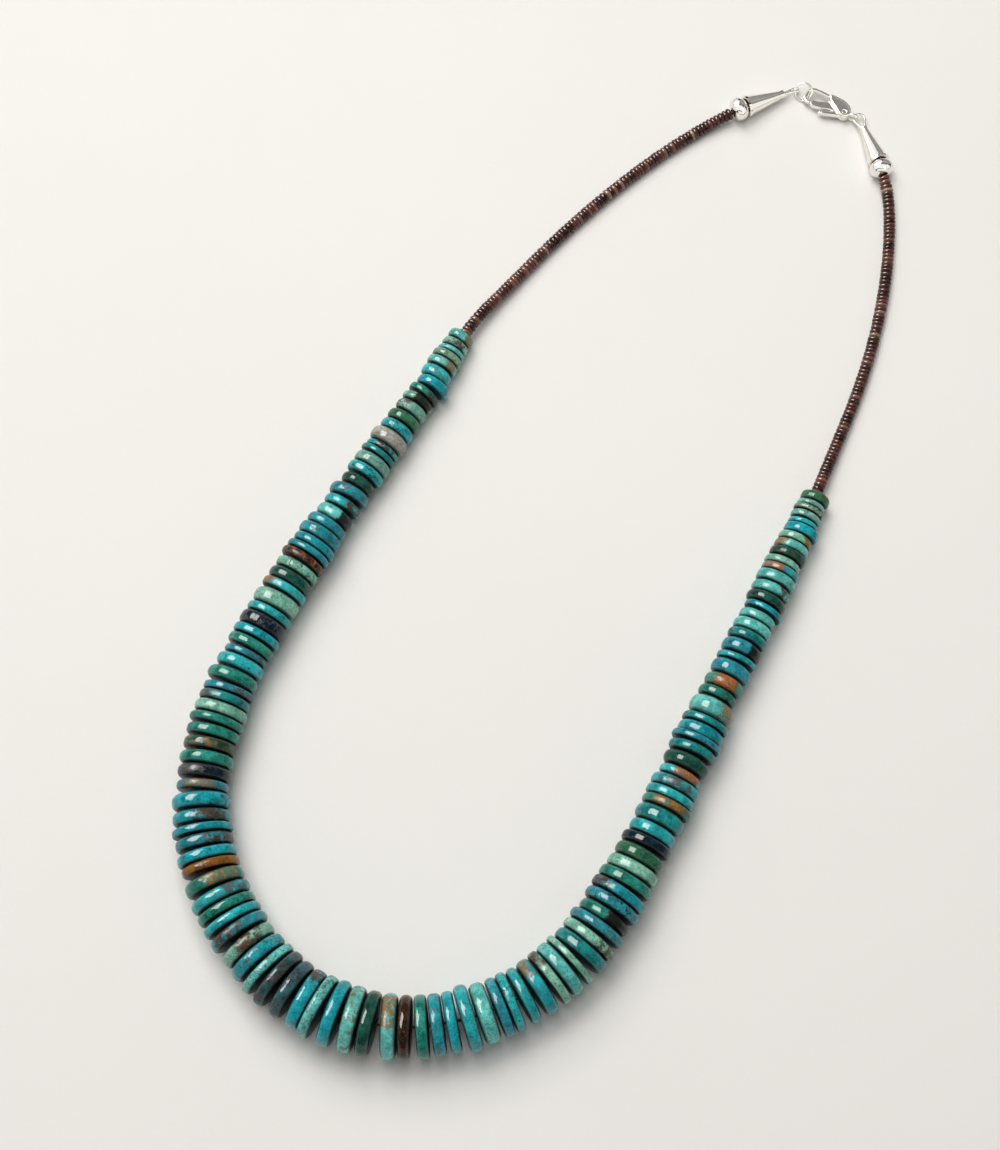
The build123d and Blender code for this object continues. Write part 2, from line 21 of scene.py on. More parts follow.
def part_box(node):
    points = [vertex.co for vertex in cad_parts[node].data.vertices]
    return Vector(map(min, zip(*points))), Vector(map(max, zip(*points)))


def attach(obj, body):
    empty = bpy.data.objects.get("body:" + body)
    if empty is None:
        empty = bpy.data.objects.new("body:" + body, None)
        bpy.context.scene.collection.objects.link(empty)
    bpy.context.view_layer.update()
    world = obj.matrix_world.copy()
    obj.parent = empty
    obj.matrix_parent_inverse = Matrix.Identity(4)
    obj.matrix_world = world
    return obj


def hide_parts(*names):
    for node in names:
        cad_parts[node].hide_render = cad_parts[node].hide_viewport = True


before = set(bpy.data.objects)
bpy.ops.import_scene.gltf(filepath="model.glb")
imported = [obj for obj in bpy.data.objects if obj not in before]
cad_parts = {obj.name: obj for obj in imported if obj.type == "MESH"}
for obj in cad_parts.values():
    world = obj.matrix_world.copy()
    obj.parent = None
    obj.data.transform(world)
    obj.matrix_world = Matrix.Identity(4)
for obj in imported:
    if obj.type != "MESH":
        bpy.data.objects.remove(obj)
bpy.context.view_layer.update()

log = logging.getLogger("necklace")

MM = 0.001
UP = Vector((0.0, 0.0, 1.0))
MERGE_DISTANCE = 0.002 * MM
NOISE_MIDDLE = 0.5
QUAD_CORNERS = 4
SIDE_VIEW = Vector((2.0, 1.0, 0.0))
NORMAL_DIGITS = 2
BORE_ZONE = 0.75
BRIGHTEST_BYTE = 255
SRGB_KNEE, SRGB_SLOPE, SRGB_OFFSET, SRGB_POWER = 0.04045, 12.92, 0.055, 2.4
# The Mix node's colour sockets, whose names its other sockets share
MIX_FIRST, MIX_SECOND, MIX_RESULT = 6, 7, 2
Colour = tuple[float, float, float]


def smoothstep(value: float) -> float:
    """A soft step from 0 to 1 as the value goes from 0 to 1."""
    value = min(max(value, 0.0), 1.0)
    return value * value * (3.0 - 2.0 * value)


def shade(hexadecimal: str) -> Colour:
    """The linear colour of a swatch written as six hexadecimal digits."""
    parts = [byte / BRIGHTEST_BYTE for byte in bytes.fromhex(hexadecimal)]
    return tuple(part / SRGB_SLOPE if part <= SRGB_KNEE
                 else ((part + SRGB_OFFSET) / (1 + SRGB_OFFSET)) ** SRGB_POWER
                 for part in parts)


def scaled(colour: Colour, factor: float) -> Colour:
    """A colour made lighter or darker, kept under full white."""
    return tuple(min(channel * factor, 1.0) for channel in colour)


class Rise(NamedTuple):
    """How a mask rises from 0: the value where it starts, how steeply it climbs
    towards 1, and the share of it that is used."""

    start: float
    steepness: float
    share: float = 1.0


class Blotches(NamedTuple):
    """Soft random noise: how many blotches there are to the unit, and how rough and
    how twisted they are."""

    scale: float
    detail: float = 3.0
    roughness: float = 0.55
    distortion: float = 0.0


class Warp(NamedTuple):
    """How a pattern is pushed about: the noise's scale, how far it pushes, and its
    detail."""

    scale: float
    amount: float
    detail: float = 2.0


@dataclass(frozen=True)
class Field:
    """A value that varies over a surface: one output socket, usable in sums."""

    graph: "Graph"
    socket: bpy.types.NodeSocket

    def _math(self, operation: str, *values: "Field | float") -> "Field":
        """Adds one Math node.

        Args:
            operation: The node's operation.
            values: Its inputs, in order.

        Returns:
            The node's result.
        """
        return self.graph.node("ShaderNodeMath", {"operation": operation},
                               dict(enumerate(values)))

    def __add__(self, other: "Field | float") -> "Field":
        """This value plus another."""
        return self._math("ADD", self, other)

    def __radd__(self, other: float) -> "Field":
        """A number plus this value."""
        return self._math("ADD", other, self)

    def __sub__(self, other: "Field | float") -> "Field":
        """This value minus another."""
        return self._math("SUBTRACT", self, other)

    def __rsub__(self, other: float) -> "Field":
        """A number minus this value."""
        return self._math("SUBTRACT", other, self)

    def __mul__(self, other: "Field | float") -> "Field":
        """This value times another."""
        return self._math("MULTIPLY", self, other)

    def __rmul__(self, other: float) -> "Field":
        """A number times this value."""
        return self._math("MULTIPLY", other, self)

    def clamped(self) -> "Field":
        """This value held between 0 and 1."""
        return self.graph.node("ShaderNodeClamp", {}, {"Value": self})

    def larger(self, other: "Field | float") -> "Field":
        """The larger of this value and another."""
        return self._math("MAXIMUM", self, other)

    def rising(self, rise: Rise) -> "Field":
        """A mask that grows as this value climbs past the start."""
        return ((self - rise.start) * rise.steepness).clamped() * rise.share

    def falling(self, rise: Rise) -> "Field":
        """A mask that grows as this value sinks under the start."""
        return ((rise.start - self) * rise.steepness).clamped() * rise.share


class Graph:
    """The node tree of one finish."""

    def __init__(self, name: str) -> None:
        """Starts an empty material with its output node.

        Args:
            name: The material's name.
        """
        self.material = bpy.data.materials.new(name)
        self.material.use_nodes = True
        self.tree = self.material.node_tree
        self.tree.nodes.clear()
        self.output = self.tree.nodes.new("ShaderNodeOutputMaterial")

    def node(self, kind: str, settings: Mapping[str, object] | None = None,
             inputs: Mapping[str | int, object] | None = None,
             result: str | int = 0) -> Field:
        """Adds a node of any kind.

        Args:
            kind: The node's type.
            settings: Its own settings, set before its sockets.
            inputs: A value or a field for each socket that is set.
            result: The output socket that is wanted.

        Returns:
            The field of that output socket.
        """
        made = self.tree.nodes.new(kind)
        for setting, value in (settings or {}).items():
            setattr(made, setting, value)
        for socket, value in (inputs or {}).items():
            self.plug(made.inputs[socket], value)
        return Field(self, made.outputs[result])

    def plug(self, socket: bpy.types.NodeSocket, value: object) -> None:
        """Links a field to a socket, or sets the socket's own value.

        Args:
            socket: The input socket.
            value: A field, a number, a vector or a colour.
        """
        if isinstance(value, Field):
            self.tree.links.new(value.socket, socket)
        elif socket.type == "RGBA":
            socket.default_value = (*value, 1.0)
        else:
            socket.default_value = value

    def position(self, scale: tuple[float, float, float] = (1.0, 1.0, 1.0)) -> Field:
        """The place on the piece in millimetres, times a scale for each axis."""
        place = self.node("ShaderNodeTexCoord", result="Object")
        return self.node("ShaderNodeVectorMath", {"operation": "MULTIPLY"},
                         {0: place, 1: [factor / MM for factor in scale]})

    def noise(self, vector: Field, look: Blotches) -> Field:
        """Soft random blotches from 0 to 1."""
        return self.node("ShaderNodeTexNoise", {}, {
            "Vector": vector, "Scale": look.scale, "Detail": look.detail,
            "Roughness": look.roughness, "Distortion": look.distortion})

    def warped(self, vector: Field, warp: Warp) -> Field:
        """A vector pushed about by noise.

        Args:
            vector: The vector.
            warp: How it is pushed.

        Returns:
            The pushed vector.
        """
        push = self.node("ShaderNodeTexNoise", {}, {
            "Vector": vector, "Scale": warp.scale, "Detail": warp.detail}, result="Color")
        shift = self.node("ShaderNodeVectorMath", {"operation": "SCALE"},
                          {0: push, "Scale": warp.amount})
        return self.node("ShaderNodeVectorMath", {"operation": "ADD"}, {0: vector, 1: shift})

    def cracks(self, vector: Field, scale: float) -> Field:
        """The distance to the nearest line of a random web."""
        return self.node("ShaderNodeTexVoronoi", {"feature": "DISTANCE_TO_EDGE"},
                         {"Vector": vector, "Scale": scale})

    def colour(self, name: str) -> Field:
        """A colour that the mesh carries."""
        return self.node("ShaderNodeAttribute", {"attribute_name": name}, result="Color")

    def channels(self, name: str) -> list[Field]:
        """The three channels of a colour that the mesh carries."""
        parts = self.node("ShaderNodeSeparateColor", {}, {"Color": self.colour(name)})
        return [Field(self, socket) for socket in parts.socket.node.outputs]

    def grey(self, tone: Field) -> Field:
        """A value as a colour without a hue."""
        return self.node("ShaderNodeCombineColor", {}, {0: tone, 1: tone, 2: tone})

    def blend(self, factor: Field | float, low: object, high: object,
              blend_type: str = "MIX") -> Field:
        """A colour between two others.

        Args:
            factor: 0 for the first colour, 1 for the second.
            low: The first colour.
            high: The second colour.
            blend_type: How they are combined.

        Returns:
            The mixed colour.
        """
        settings = {"data_type": "RGBA", "blend_type": blend_type, "clamp_factor": True}
        return self.node("ShaderNodeMix", settings,
                         {0: factor, MIX_FIRST: low, MIX_SECOND: high}, result=MIX_RESULT)

    def bump(self, height: Field, distance: float) -> Field:
        """The normal of a surface with fine relief.

        Args:
            height: The relief from 0 to 1.
            distance: The depth of the relief in millimetres.

        Returns:
            The normal.
        """
        return self.node("ShaderNodeBump", {}, {
            "Height": height, "Distance": distance * MM, "Strength": 1.0})

    def finish(self, inputs: Mapping[str | int, object]) -> bpy.types.Material:
        """Closes the material with a surface shader.

        Args:
            inputs: A value or a field for each shader socket that is set.

        Returns:
            The finished material.
        """
        surface = self.node("ShaderNodeBsdfPrincipled", {}, inputs)
        self.tree.links.new(surface.socket, self.output.inputs["Surface"])
        return self.material


@dataclass(frozen=True)
class StoneLook:
    """The two colours that the body of a stone is mottled with."""

    main: str
    second: str


class Stone(Enum):
    """The kinds of stone that the discs were cut from."""

    SKY = StoneLook("1fa1ad", "147e89")
    BLUE = StoneLook("2a92a2", "1e6e7b")
    TEAL = StoneLook("2eb0b4", "1c8991")
    DEEP = StoneLook("1f8f8f", "146364")
    AQUA = StoneLook("6ac4bd", "44a49e")
    PALE = StoneLook("80b4a6", "5a9488")
    SEA = StoneLook("86bfaa", "5d9c88")
    GREEN = StoneLook("2a8b7b", "176257")
    MOSS = StoneLook("1e574a", "12382f")
    OLIVE = StoneLook("397553", "235745")
    SAGE = StoneLook("90b097", "658d7a")
    SLATE = StoneLook("2a6067", "2b3337")
    NAVY = StoneLook("182a38", "0b151c")
    CREAM = StoneLook("abaaa2", "8a8d85")
    BRONZE = StoneLook("33211a", "1c1311")
    AMBER = StoneLook("9a5f1c", "5a3a10")


@dataclass(frozen=True)
class VeinLook:
    """The host rock that runs through a stone: its colour, and how much of it lies
    there as a web of lines and as blotches, from 0 to 1."""

    colour: str
    web: float
    blotch: float


class Vein(Enum):
    """The kinds of host rock in the stones."""

    CLEAN = VeinLook("2b4a48", 0.10, 0.00)
    SPECK = VeinLook("26241f", 0.25, 0.34)
    WEB = VeinLook("1d1814", 0.95, 0.22)
    RUST = VeinLook("5f3a22", 0.70, 0.50)
    TAN = VeinLook("9c8658", 0.20, 0.52)
    GOLD = VeinLook("a8783a", 0.45, 0.55)
    COPPER = VeinLook("c4743c", 0.30, 0.60)
    BLACK = VeinLook("231c19", 0.60, 0.85)
    ASH = VeinLook("66696c", 0.85, 0.46)


class Bead(NamedTuple):
    """One turquoise disc's stone and vein. The clock is the place round its rim, in
    degrees from the top towards the inside of the loop, where the vein gathers."""

    stone: Stone
    vein: Vein = Vein.CLEAN
    clock: float | None = None


# In their order along the thread, from the left strand round the front to the right
BEADS = [
    Bead(Stone.AQUA, Vein.TAN, 70), Bead(Stone.SEA, Vein.RUST, 20), Bead(Stone.AQUA),
    Bead(Stone.SAGE, Vein.SPECK), Bead(Stone.AQUA, Vein.TAN, 40), Bead(Stone.TEAL, Vein.TAN),
    Bead(Stone.SKY), Bead(Stone.GREEN, Vein.RUST, 60), Bead(Stone.SEA, Vein.BLACK, 40),
    Bead(Stone.PALE, Vein.RUST, -40), Bead(Stone.OLIVE), Bead(Stone.TEAL, Vein.WEB, 0),
    Bead(Stone.CREAM), Bead(Stone.TEAL, Vein.RUST, 20), Bead(Stone.DEEP), Bead(Stone.PALE),
    Bead(Stone.TEAL, Vein.WEB), Bead(Stone.MOSS, Vein.WEB), Bead(Stone.BLUE, Vein.ASH),
    Bead(Stone.TEAL, Vein.RUST, 60), Bead(Stone.AQUA, Vein.BLACK, 70), Bead(Stone.BLUE),
    Bead(Stone.SKY, Vein.ASH), Bead(Stone.SKY), Bead(Stone.BLUE),
    Bead(Stone.BRONZE, Vein.COPPER), Bead(Stone.SEA, Vein.WEB), Bead(Stone.MOSS),
    Bead(Stone.TEAL, Vein.GOLD, -60), Bead(Stone.SEA, Vein.SPECK), Bead(Stone.TEAL),
    Bead(Stone.NAVY, Vein.ASH), Bead(Stone.SKY), Bead(Stone.GREEN),
    Bead(Stone.BLUE, Vein.ASH, 50), Bead(Stone.TEAL), Bead(Stone.GREEN),
    Bead(Stone.BLUE, Vein.ASH, 60), Bead(Stone.DEEP, Vein.ASH, -50), Bead(Stone.SEA),
    Bead(Stone.GREEN, Vein.SPECK), Bead(Stone.GREEN), Bead(Stone.MOSS, Vein.GOLD),
    Bead(Stone.GREEN), Bead(Stone.NAVY, Vein.ASH, -30), Bead(Stone.BLUE, Vein.TAN, 0),
    Bead(Stone.SKY, Vein.SPECK, 60), Bead(Stone.SKY, Vein.RUST, 30), Bead(Stone.SKY),
    Bead(Stone.BLUE, Vein.RUST, 50), Bead(Stone.SKY, Vein.SPECK),
    Bead(Stone.AMBER, Vein.SPECK, 0), Bead(Stone.GREEN, Vein.TAN, 20),
    Bead(Stone.TEAL, Vein.ASH, 50), Bead(Stone.GREEN), Bead(Stone.TEAL),
    Bead(Stone.BLUE, Vein.RUST, -20), Bead(Stone.SEA, Vein.RUST, 10),
    Bead(Stone.SKY, Vein.RUST), Bead(Stone.AQUA, Vein.RUST), Bead(Stone.SLATE, Vein.RUST),
    Bead(Stone.SLATE, Vein.ASH), Bead(Stone.SKY, Vein.RUST, 70), Bead(Stone.AQUA, Vein.RUST),
    Bead(Stone.SKY), Bead(Stone.AQUA, Vein.GOLD), Bead(Stone.MOSS),
    Bead(Stone.AQUA, Vein.GOLD, 30), Bead(Stone.BRONZE, Vein.COPPER, 115), Bead(Stone.GREEN),
    Bead(Stone.SKY, Vein.ASH), Bead(Stone.SKY), Bead(Stone.TEAL, Vein.SPECK),
    Bead(Stone.AQUA, Vein.WEB, 120), Bead(Stone.BLUE), Bead(Stone.TEAL, Vein.WEB),
    Bead(Stone.TEAL, Vein.SPECK), Bead(Stone.SKY, Vein.TAN, 60), Bead(Stone.SEA, Vein.RUST, 60),
    Bead(Stone.AQUA, Vein.WEB, 120), Bead(Stone.SEA), Bead(Stone.DEEP),
    Bead(Stone.SEA, Vein.RUST, -60), Bead(Stone.BLUE, Vein.ASH),
    Bead(Stone.GREEN, Vein.BLACK, -50), Bead(Stone.BLUE, Vein.WEB),
    Bead(Stone.SKY, Vein.RUST, 60), Bead(Stone.GREEN), Bead(Stone.SEA), Bead(Stone.OLIVE),
    Bead(Stone.NAVY), Bead(Stone.TEAL), Bead(Stone.DEEP), Bead(Stone.GREEN, Vein.GOLD, 0),
    Bead(Stone.TEAL), Bead(Stone.TEAL, Vein.ASH, 0), Bead(Stone.TEAL, Vein.COPPER, -20),
    Bead(Stone.MOSS), Bead(Stone.DEEP), Bead(Stone.BLUE), Bead(Stone.SKY), Bead(Stone.DEEP),
    Bead(Stone.AQUA, Vein.TAN, -60), Bead(Stone.GREEN, Vein.SPECK, -50),
    Bead(Stone.GREEN, Vein.COPPER, 0), Bead(Stone.BLUE), Bead(Stone.TEAL),
    Bead(Stone.BLUE, Vein.BLACK, -65), Bead(Stone.DEEP), Bead(Stone.AQUA),
    Bead(Stone.AQUA, Vein.SPECK), Bead(Stone.SKY), Bead(Stone.MOSS, Vein.SPECK),
    Bead(Stone.AQUA, Vein.RUST, -60), Bead(Stone.AQUA), Bead(Stone.TEAL, Vein.COPPER, 25),
    Bead(Stone.SEA), Bead(Stone.MOSS, Vein.RUST), Bead(Stone.AQUA, Vein.GOLD, 55),
    Bead(Stone.SEA, Vein.GOLD, -60), Bead(Stone.SKY), Bead(Stone.TEAL), Bead(Stone.PALE),
    Bead(Stone.SAGE, Vein.WEB), Bead(Stone.PALE), Bead(Stone.OLIVE, Vein.RUST),
]


@dataclass(frozen=True)
class HostRock:
    """The veins of host rock: a broken web of lines, and blotches with a dark seam."""

    web_warps: tuple[Warp, Warp] = (Warp(0.6, 2.2), Warp(2.4, 0.5))
    web_scale: float = 0.62
    web_width: float = 0.055
    web_breaks: Blotches = Blotches(0.8, 4.0, 0.65)
    web_break_rise: Rise = Rise(0.40, 5.0)
    line_rise: Rise = Rise(0.0, 50.0)
    line_seam: float = 0.9
    blotch: Blotches = Blotches(0.62, 8.0, 0.70)
    blotch_warp: Warp = Warp(1.8, 0.7)
    blotch_reach: float = 0.60
    blotch_threshold: float = 0.93
    blotch_fray: float = 0.22
    blotch_rise: Rise = Rise(0.0, 25.0)
    seam_rise: Rise = Rise(-0.07, 20.0)
    presence: Rise = Rise(0.0, 8.0)

    def masks(self, graph: Graph, place: Field, grain: Field) -> tuple[Field, Field]:
        """Where the host rock lies.

        Args:
            graph: The node tree.
            place: The place on the piece in millimetres.
            grain: Fine random blotches.

        Returns:
            Where the rock lies, and the dark seam round it.
        """
        web, blotch, _ = graph.channels("pattern")
        wide, fine = self.web_warps
        line = graph.cracks(graph.warped(graph.warped(place, wide), fine), self.web_scale)
        breaks = graph.noise(place, self.web_breaks).rising(self.web_break_rise)
        lines = (web * breaks * self.web_width - line).rising(self.line_rise)
        spread = graph.noise(graph.warped(place, self.blotch_warp), self.blotch)
        level = (spread + blotch * self.blotch_reach - self.blotch_threshold
                 + (grain - NOISE_MIDDLE) * self.blotch_fray)
        present = blotch.rising(self.presence)
        patches = level.rising(self.blotch_rise) * present
        seam = level.rising(self.seam_rise) * present - patches
        return lines.larger(patches), seam.clamped().larger(lines * self.line_seam)


@dataclass(frozen=True)
class TurquoiseFinish:
    """Ground and tumbled turquoise. The mesh carries each disc's two stone colours,
    its vein colour, how much web, blotch and worn edge lies at each point, and the
    painted shade on the faces between neighbouring discs."""

    name: str = "polished_turquoise"
    rock: HostRock = HostRock()
    mottle: Blotches = Blotches(0.50, 7.0, 0.72)
    mottle_warp: Warp = Warp(0.7, 0.9)
    mottle_rise: Rise = Rise(0.42, 5.0)
    cloud: Blotches = Blotches(0.26, 3.0, 0.6, 0.5)
    cloud_rise: Rise = Rise(0.50, 6.0, 0.5)
    grain: Blotches = Blotches(4.0, 3.0, 0.65)
    grain_contrast: float = 1.1
    brightness: float = 1.03
    fleck: Blotches = Blotches(2.8, 4.0, 0.75)
    dark_fleck: Rise = Rise(0.56, 12.0, 0.85)
    pale_fleck: Rise = Rise(0.42, 9.0, 0.25)
    pale_fleck_chalk: float = 0.30
    worn_rise: Rise = Rise(0.35, 3.0, 0.35)
    worn_chalk: float = 0.35
    chalk_tone: str = "d6e8e0"
    rock_grain: Rise = Rise(0.42, 6.0)
    rock_share: float = 0.95
    seam_share: float = 0.85
    # Painted shade between neighbouring discs: the tone it darkens by and how strongly
    gap_shade_tone: str = "343c3c"
    gap_shade_share: float = 0.90
    polish: float = 0.03
    grain_dullness: float = 0.06
    rock_dullness: float = 0.15
    # Extra roughness where the shade between the discs is painted
    gap_shade_dullness: float = 0.3
    pits: Blotches = Blotches(0.9, 3.0, 0.5)
    rock_sink: float = 1.6
    seam_sink: float = 2.2
    relief: float = 0.010
    ior: float = 1.34

    def body(self, graph: Graph, place: Field, grain: Field) -> Field:
        """The stone's own colour.

        Args:
            graph: The node tree.
            place: The place on the piece in millimetres.
            grain: Fine random blotches.

        Returns:
            The mottled, flecked colour with its worn edges.
        """
        stone, second = graph.colour("stone"), graph.colour("second")
        worn = graph.channels("pattern")[2]
        mottle = graph.noise(graph.warped(place, self.mottle_warp), self.mottle)
        cloud = graph.noise(place, self.cloud)
        fleck = graph.noise(place, self.fleck)
        body = graph.blend(mottle.rising(self.mottle_rise), stone, second)
        body = graph.blend(cloud.rising(self.cloud_rise), body, second)
        tone = ((grain - NOISE_MIDDLE) * self.grain_contrast - (mottle - NOISE_MIDDLE)
                + self.brightness)
        body = graph.blend(1.0, body, graph.grey(tone), "MULTIPLY")
        body = graph.blend(fleck.rising(self.dark_fleck), body, graph.colour("vein_second"))
        chalk = shade(self.chalk_tone)
        body = graph.blend(fleck.falling(self.pale_fleck), body,
                           graph.blend(self.pale_fleck_chalk, stone, chalk))
        return graph.blend(worn * grain.rising(self.worn_rise), body,
                           graph.blend(self.worn_chalk, stone, chalk))

    def material(self) -> bpy.types.Material:
        """Makes the finish.

        Returns:
            Its material.
        """
        graph = Graph(self.name)
        place = graph.position()
        grain = graph.noise(place, self.grain)
        # The painted shade on the faces between neighbouring discs, as a mask
        painted_gap_shade = graph.channels("painted_gap_shade")[0]
        dark = graph.colour("vein_second")
        rock, seam = self.rock.masks(graph, place, grain)
        vein = graph.blend(grain.rising(self.rock_grain), graph.colour("vein"), dark)
        body = self.body(graph, place, grain)
        colour = graph.blend(seam * self.seam_share,
                             graph.blend(rock * self.rock_share, body, vein), dark)
        # Painted shade: the faces between neighbouring discs are darkened away from the rim
        colour = graph.blend(painted_gap_shade * self.gap_shade_share, colour, shade(self.gap_shade_tone),
                             "MULTIPLY")
        rough = ((rock + seam) * self.rock_dullness + grain * self.grain_dullness
                 + painted_gap_shade * self.gap_shade_dullness + self.polish)
        pits = (graph.noise(place, self.pits) - rock * self.rock_sink
                - seam * self.seam_sink - grain * rock)
        return graph.finish({
            "Base Color": colour, "Roughness": rough, "IOR": self.ior,
            "Normal": graph.bump(pits, self.relief)})


@dataclass(frozen=True)
class ShellFinish:
    """Small discs cut from a dark shell. The mesh carries each disc's own colour."""

    name: str = "dark_shell"
    streak: Blotches = Blotches(1.6, 4.0, 0.6)
    streak_warp: Warp = Warp(2.0, 0.6)
    streak_rise: Rise = Rise(0.5, 5.0)
    streak_tone: str = "8a6a58"
    streak_share: float = 0.55
    grain: Blotches = Blotches(9.0, 2.0)
    grain_rise: Rise = Rise(0.55, 3.0, 0.5)
    grain_tone: str = "1a0f0c"
    polish: float = 0.14
    grain_dullness: float = 0.15
    grain_depth: float = 0.5
    relief: float = 0.02
    ior: float = 1.45

    def material(self) -> bpy.types.Material:
        """Makes the finish.

        Returns:
            Its material.
        """
        graph = Graph(self.name)
        place = graph.position()
        streak = graph.noise(graph.warped(place, self.streak_warp), self.streak)
        grain = graph.noise(place, self.grain)
        tint = graph.colour("tint")
        body = graph.blend(streak.rising(self.streak_rise), tint,
                           graph.blend(self.streak_share, tint, shade(self.streak_tone)))
        body = graph.blend(grain.rising(self.grain_rise), body, shade(self.grain_tone))
        return graph.finish({
            "Base Color": body, "Roughness": grain * self.grain_dullness + self.polish,
            "IOR": self.ior,
            "Normal": graph.bump(streak + grain * self.grain_depth, self.relief)})


@dataclass(frozen=True)
class SilverFinish:
    """Polished silver with fine handling marks and a little tarnish."""

    name: str
    polish: float
    tarnish: float
    tone: str = "f1eee9"
    tarnish_tone: str = "a79e90"
    cloud: Blotches = Blotches(0.7, 4.0, 0.6)
    cloud_rise: Rise = Rise(0.5, 4.0)
    marks: Blotches = Blotches(1.0, 3.0, 0.7, 0.6)
    mark_stretch: tuple[float, float, float] = (9.0, 2.0, 9.0)
    mark_dullness: float = 0.08
    tarnish_dullness: float = 0.25
    relief: float = 0.004

    def material(self) -> bpy.types.Material:
        """Makes the finish.

        Returns:
            Its material.
        """
        graph = Graph(self.name)
        cloud = graph.noise(graph.position(), self.cloud)
        marks = graph.noise(graph.position(self.mark_stretch), self.marks)
        dull = cloud.rising(self.cloud_rise) * self.tarnish
        return graph.finish({
            "Base Color": graph.blend(dull, shade(self.tone), shade(self.tarnish_tone)),
            "Metallic": 1.0,
            "Roughness": (marks * self.mark_dullness + dull * self.tarnish_dullness
                          + self.polish),
            "Normal": graph.bump(marks, self.relief)})


@dataclass(frozen=True)
class ThreadFinish:
    """Waxed beading thread, twisted."""

    name: str = "waxed_thread"
    tones: tuple[str, str] = ("2d221c", "5c4636")
    fibre: Blotches = Blotches(6.0, 3.0, 0.7, 0.5)
    wax: float = 0.45
    fibre_dullness: float = 0.2
    relief: float = 0.03

    def material(self) -> bpy.types.Material:
        """Makes the finish.

        Returns:
            Its material.
        """
        graph = Graph(self.name)
        fibre = graph.noise(graph.position(), self.fibre)
        return graph.finish({
            "Base Color": graph.blend(fibre, *map(shade, self.tones)),
            "Roughness": fibre * self.fibre_dullness + self.wax,
            "Normal": graph.bump(fibre, self.relief)})


@dataclass(frozen=True)
class PaperFinish:
    """The pale matt table."""

    name: str = "pale_paper"
    tone: str = "efeeec"
    darkest: float = 0.96
    cloud: Blotches = Blotches(0.01, 2.0)
    tooth: Blotches = Blotches(0.9, 5.0, 0.65)
    roughness: float = 0.9
    relief: float = 0.04

    def material(self) -> bpy.types.Material:
        """Makes the finish.

        Returns:
            Its material.
        """
        graph = Graph(self.name)
        place = graph.position()
        cloud = graph.noise(place, self.cloud)
        colour = graph.blend(cloud, shade(self.tone), scaled(shade(self.tone), self.darkest))
        return graph.finish({
            "Base Color": colour, "Roughness": self.roughness, "Specular IOR Level": 0.0,
            "Normal": graph.bump(graph.noise(place, self.tooth), self.relief)})


def new_piece(name: str, mesh: bpy.types.Mesh, material: bpy.types.Material,
              body: str) -> bpy.types.Object:
    """Makes a finished piece from a mesh that is already in place.

    Args:
        name: The piece's name.
        mesh: Its mesh, in the frame's metres.
        material: Its finish.
        body: The body that it rides on.

    Returns:
        The piece.
    """
    mesh.materials.clear()
    mesh.materials.append(material)
    mesh.shade_smooth()
    piece = bpy.data.objects.new(name, mesh)
    bpy.context.scene.collection.objects.link(piece)
    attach(piece, body)
    log.info("%s: %d faces on %s", name, len(mesh.polygons), body)
    return piece


def paint(mesh: bpy.types.Mesh, name: str, colours: list[tuple[float, ...]]) -> None:
    """Writes one colour for each vertex of a mesh.

    Args:
        mesh: The mesh.
        name: The attribute that a finish reads.
        colours: The colours, in the order of the vertices.
    """
    layer = mesh.attributes.new(name, "FLOAT_COLOR", "POINT")
    values = [channel for colour in colours for channel in (*colour[:3], 1.0)]
    layer.data.foreach_set("color", values)


@dataclass
class DiscPlace:
    """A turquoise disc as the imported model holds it, in metres."""

    centre: Vector
    axis: Vector
    radius: float
    thickness: float
    bore_centre: Vector

    @property
    def outward(self) -> Vector:
        """The level direction across the disc, away from the loop's middle."""
        return self.axis.cross(UP).normalized()

    def reversed(self) -> "DiscPlace":
        """The same disc with its axis the other way."""
        return DiscPlace(self.centre, -self.axis, self.radius, self.thickness,
                         self.bore_centre)


def islands(mesh: bpy.types.Mesh) -> list[tuple[list[Vector], Vector]]:
    """Splits a copy of a mesh into its loose solids.

    Args:
        mesh: The mesh of a node.

    Returns:
        For each solid, its points and the normal of its largest flat side.
    """
    copy = bmesh.new()
    copy.from_mesh(mesh)
    bmesh.ops.remove_doubles(copy, verts=copy.verts, dist=MERGE_DISTANCE)
    left = set(copy.verts)
    found = []
    while left:
        reached = [left.pop()]
        points, faces = set(reached), set()
        while reached:
            vertex = reached.pop()
            faces.update(vertex.link_faces)
            near = {link.other_vert(vertex) for link in vertex.link_edges} & left
            left -= near
            points |= near
            reached.extend(near)
        flats: dict[tuple[float, ...], float] = {}
        for face in faces:
            normal = face.normal if face.normal.dot(SIDE_VIEW) > 0 else -face.normal
            key = tuple(round(value, NORMAL_DIGITS) for value in normal)
            flats[key] = flats.get(key, 0.0) + face.calc_area()
        widest = Vector(max(flats, key=flats.get))
        found.append(([vertex.co.copy() for vertex in points], widest.normalized()))
    copy.free()
    return found


def box_middle(node: str) -> Vector:
    """The middle of a node's box."""
    low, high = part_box(node)
    return (Vector(low) + Vector(high)) / 2


def middle(values: list[float]) -> float:
    """Halfway between the lowest and the highest value."""
    return (min(values) + max(values)) / 2


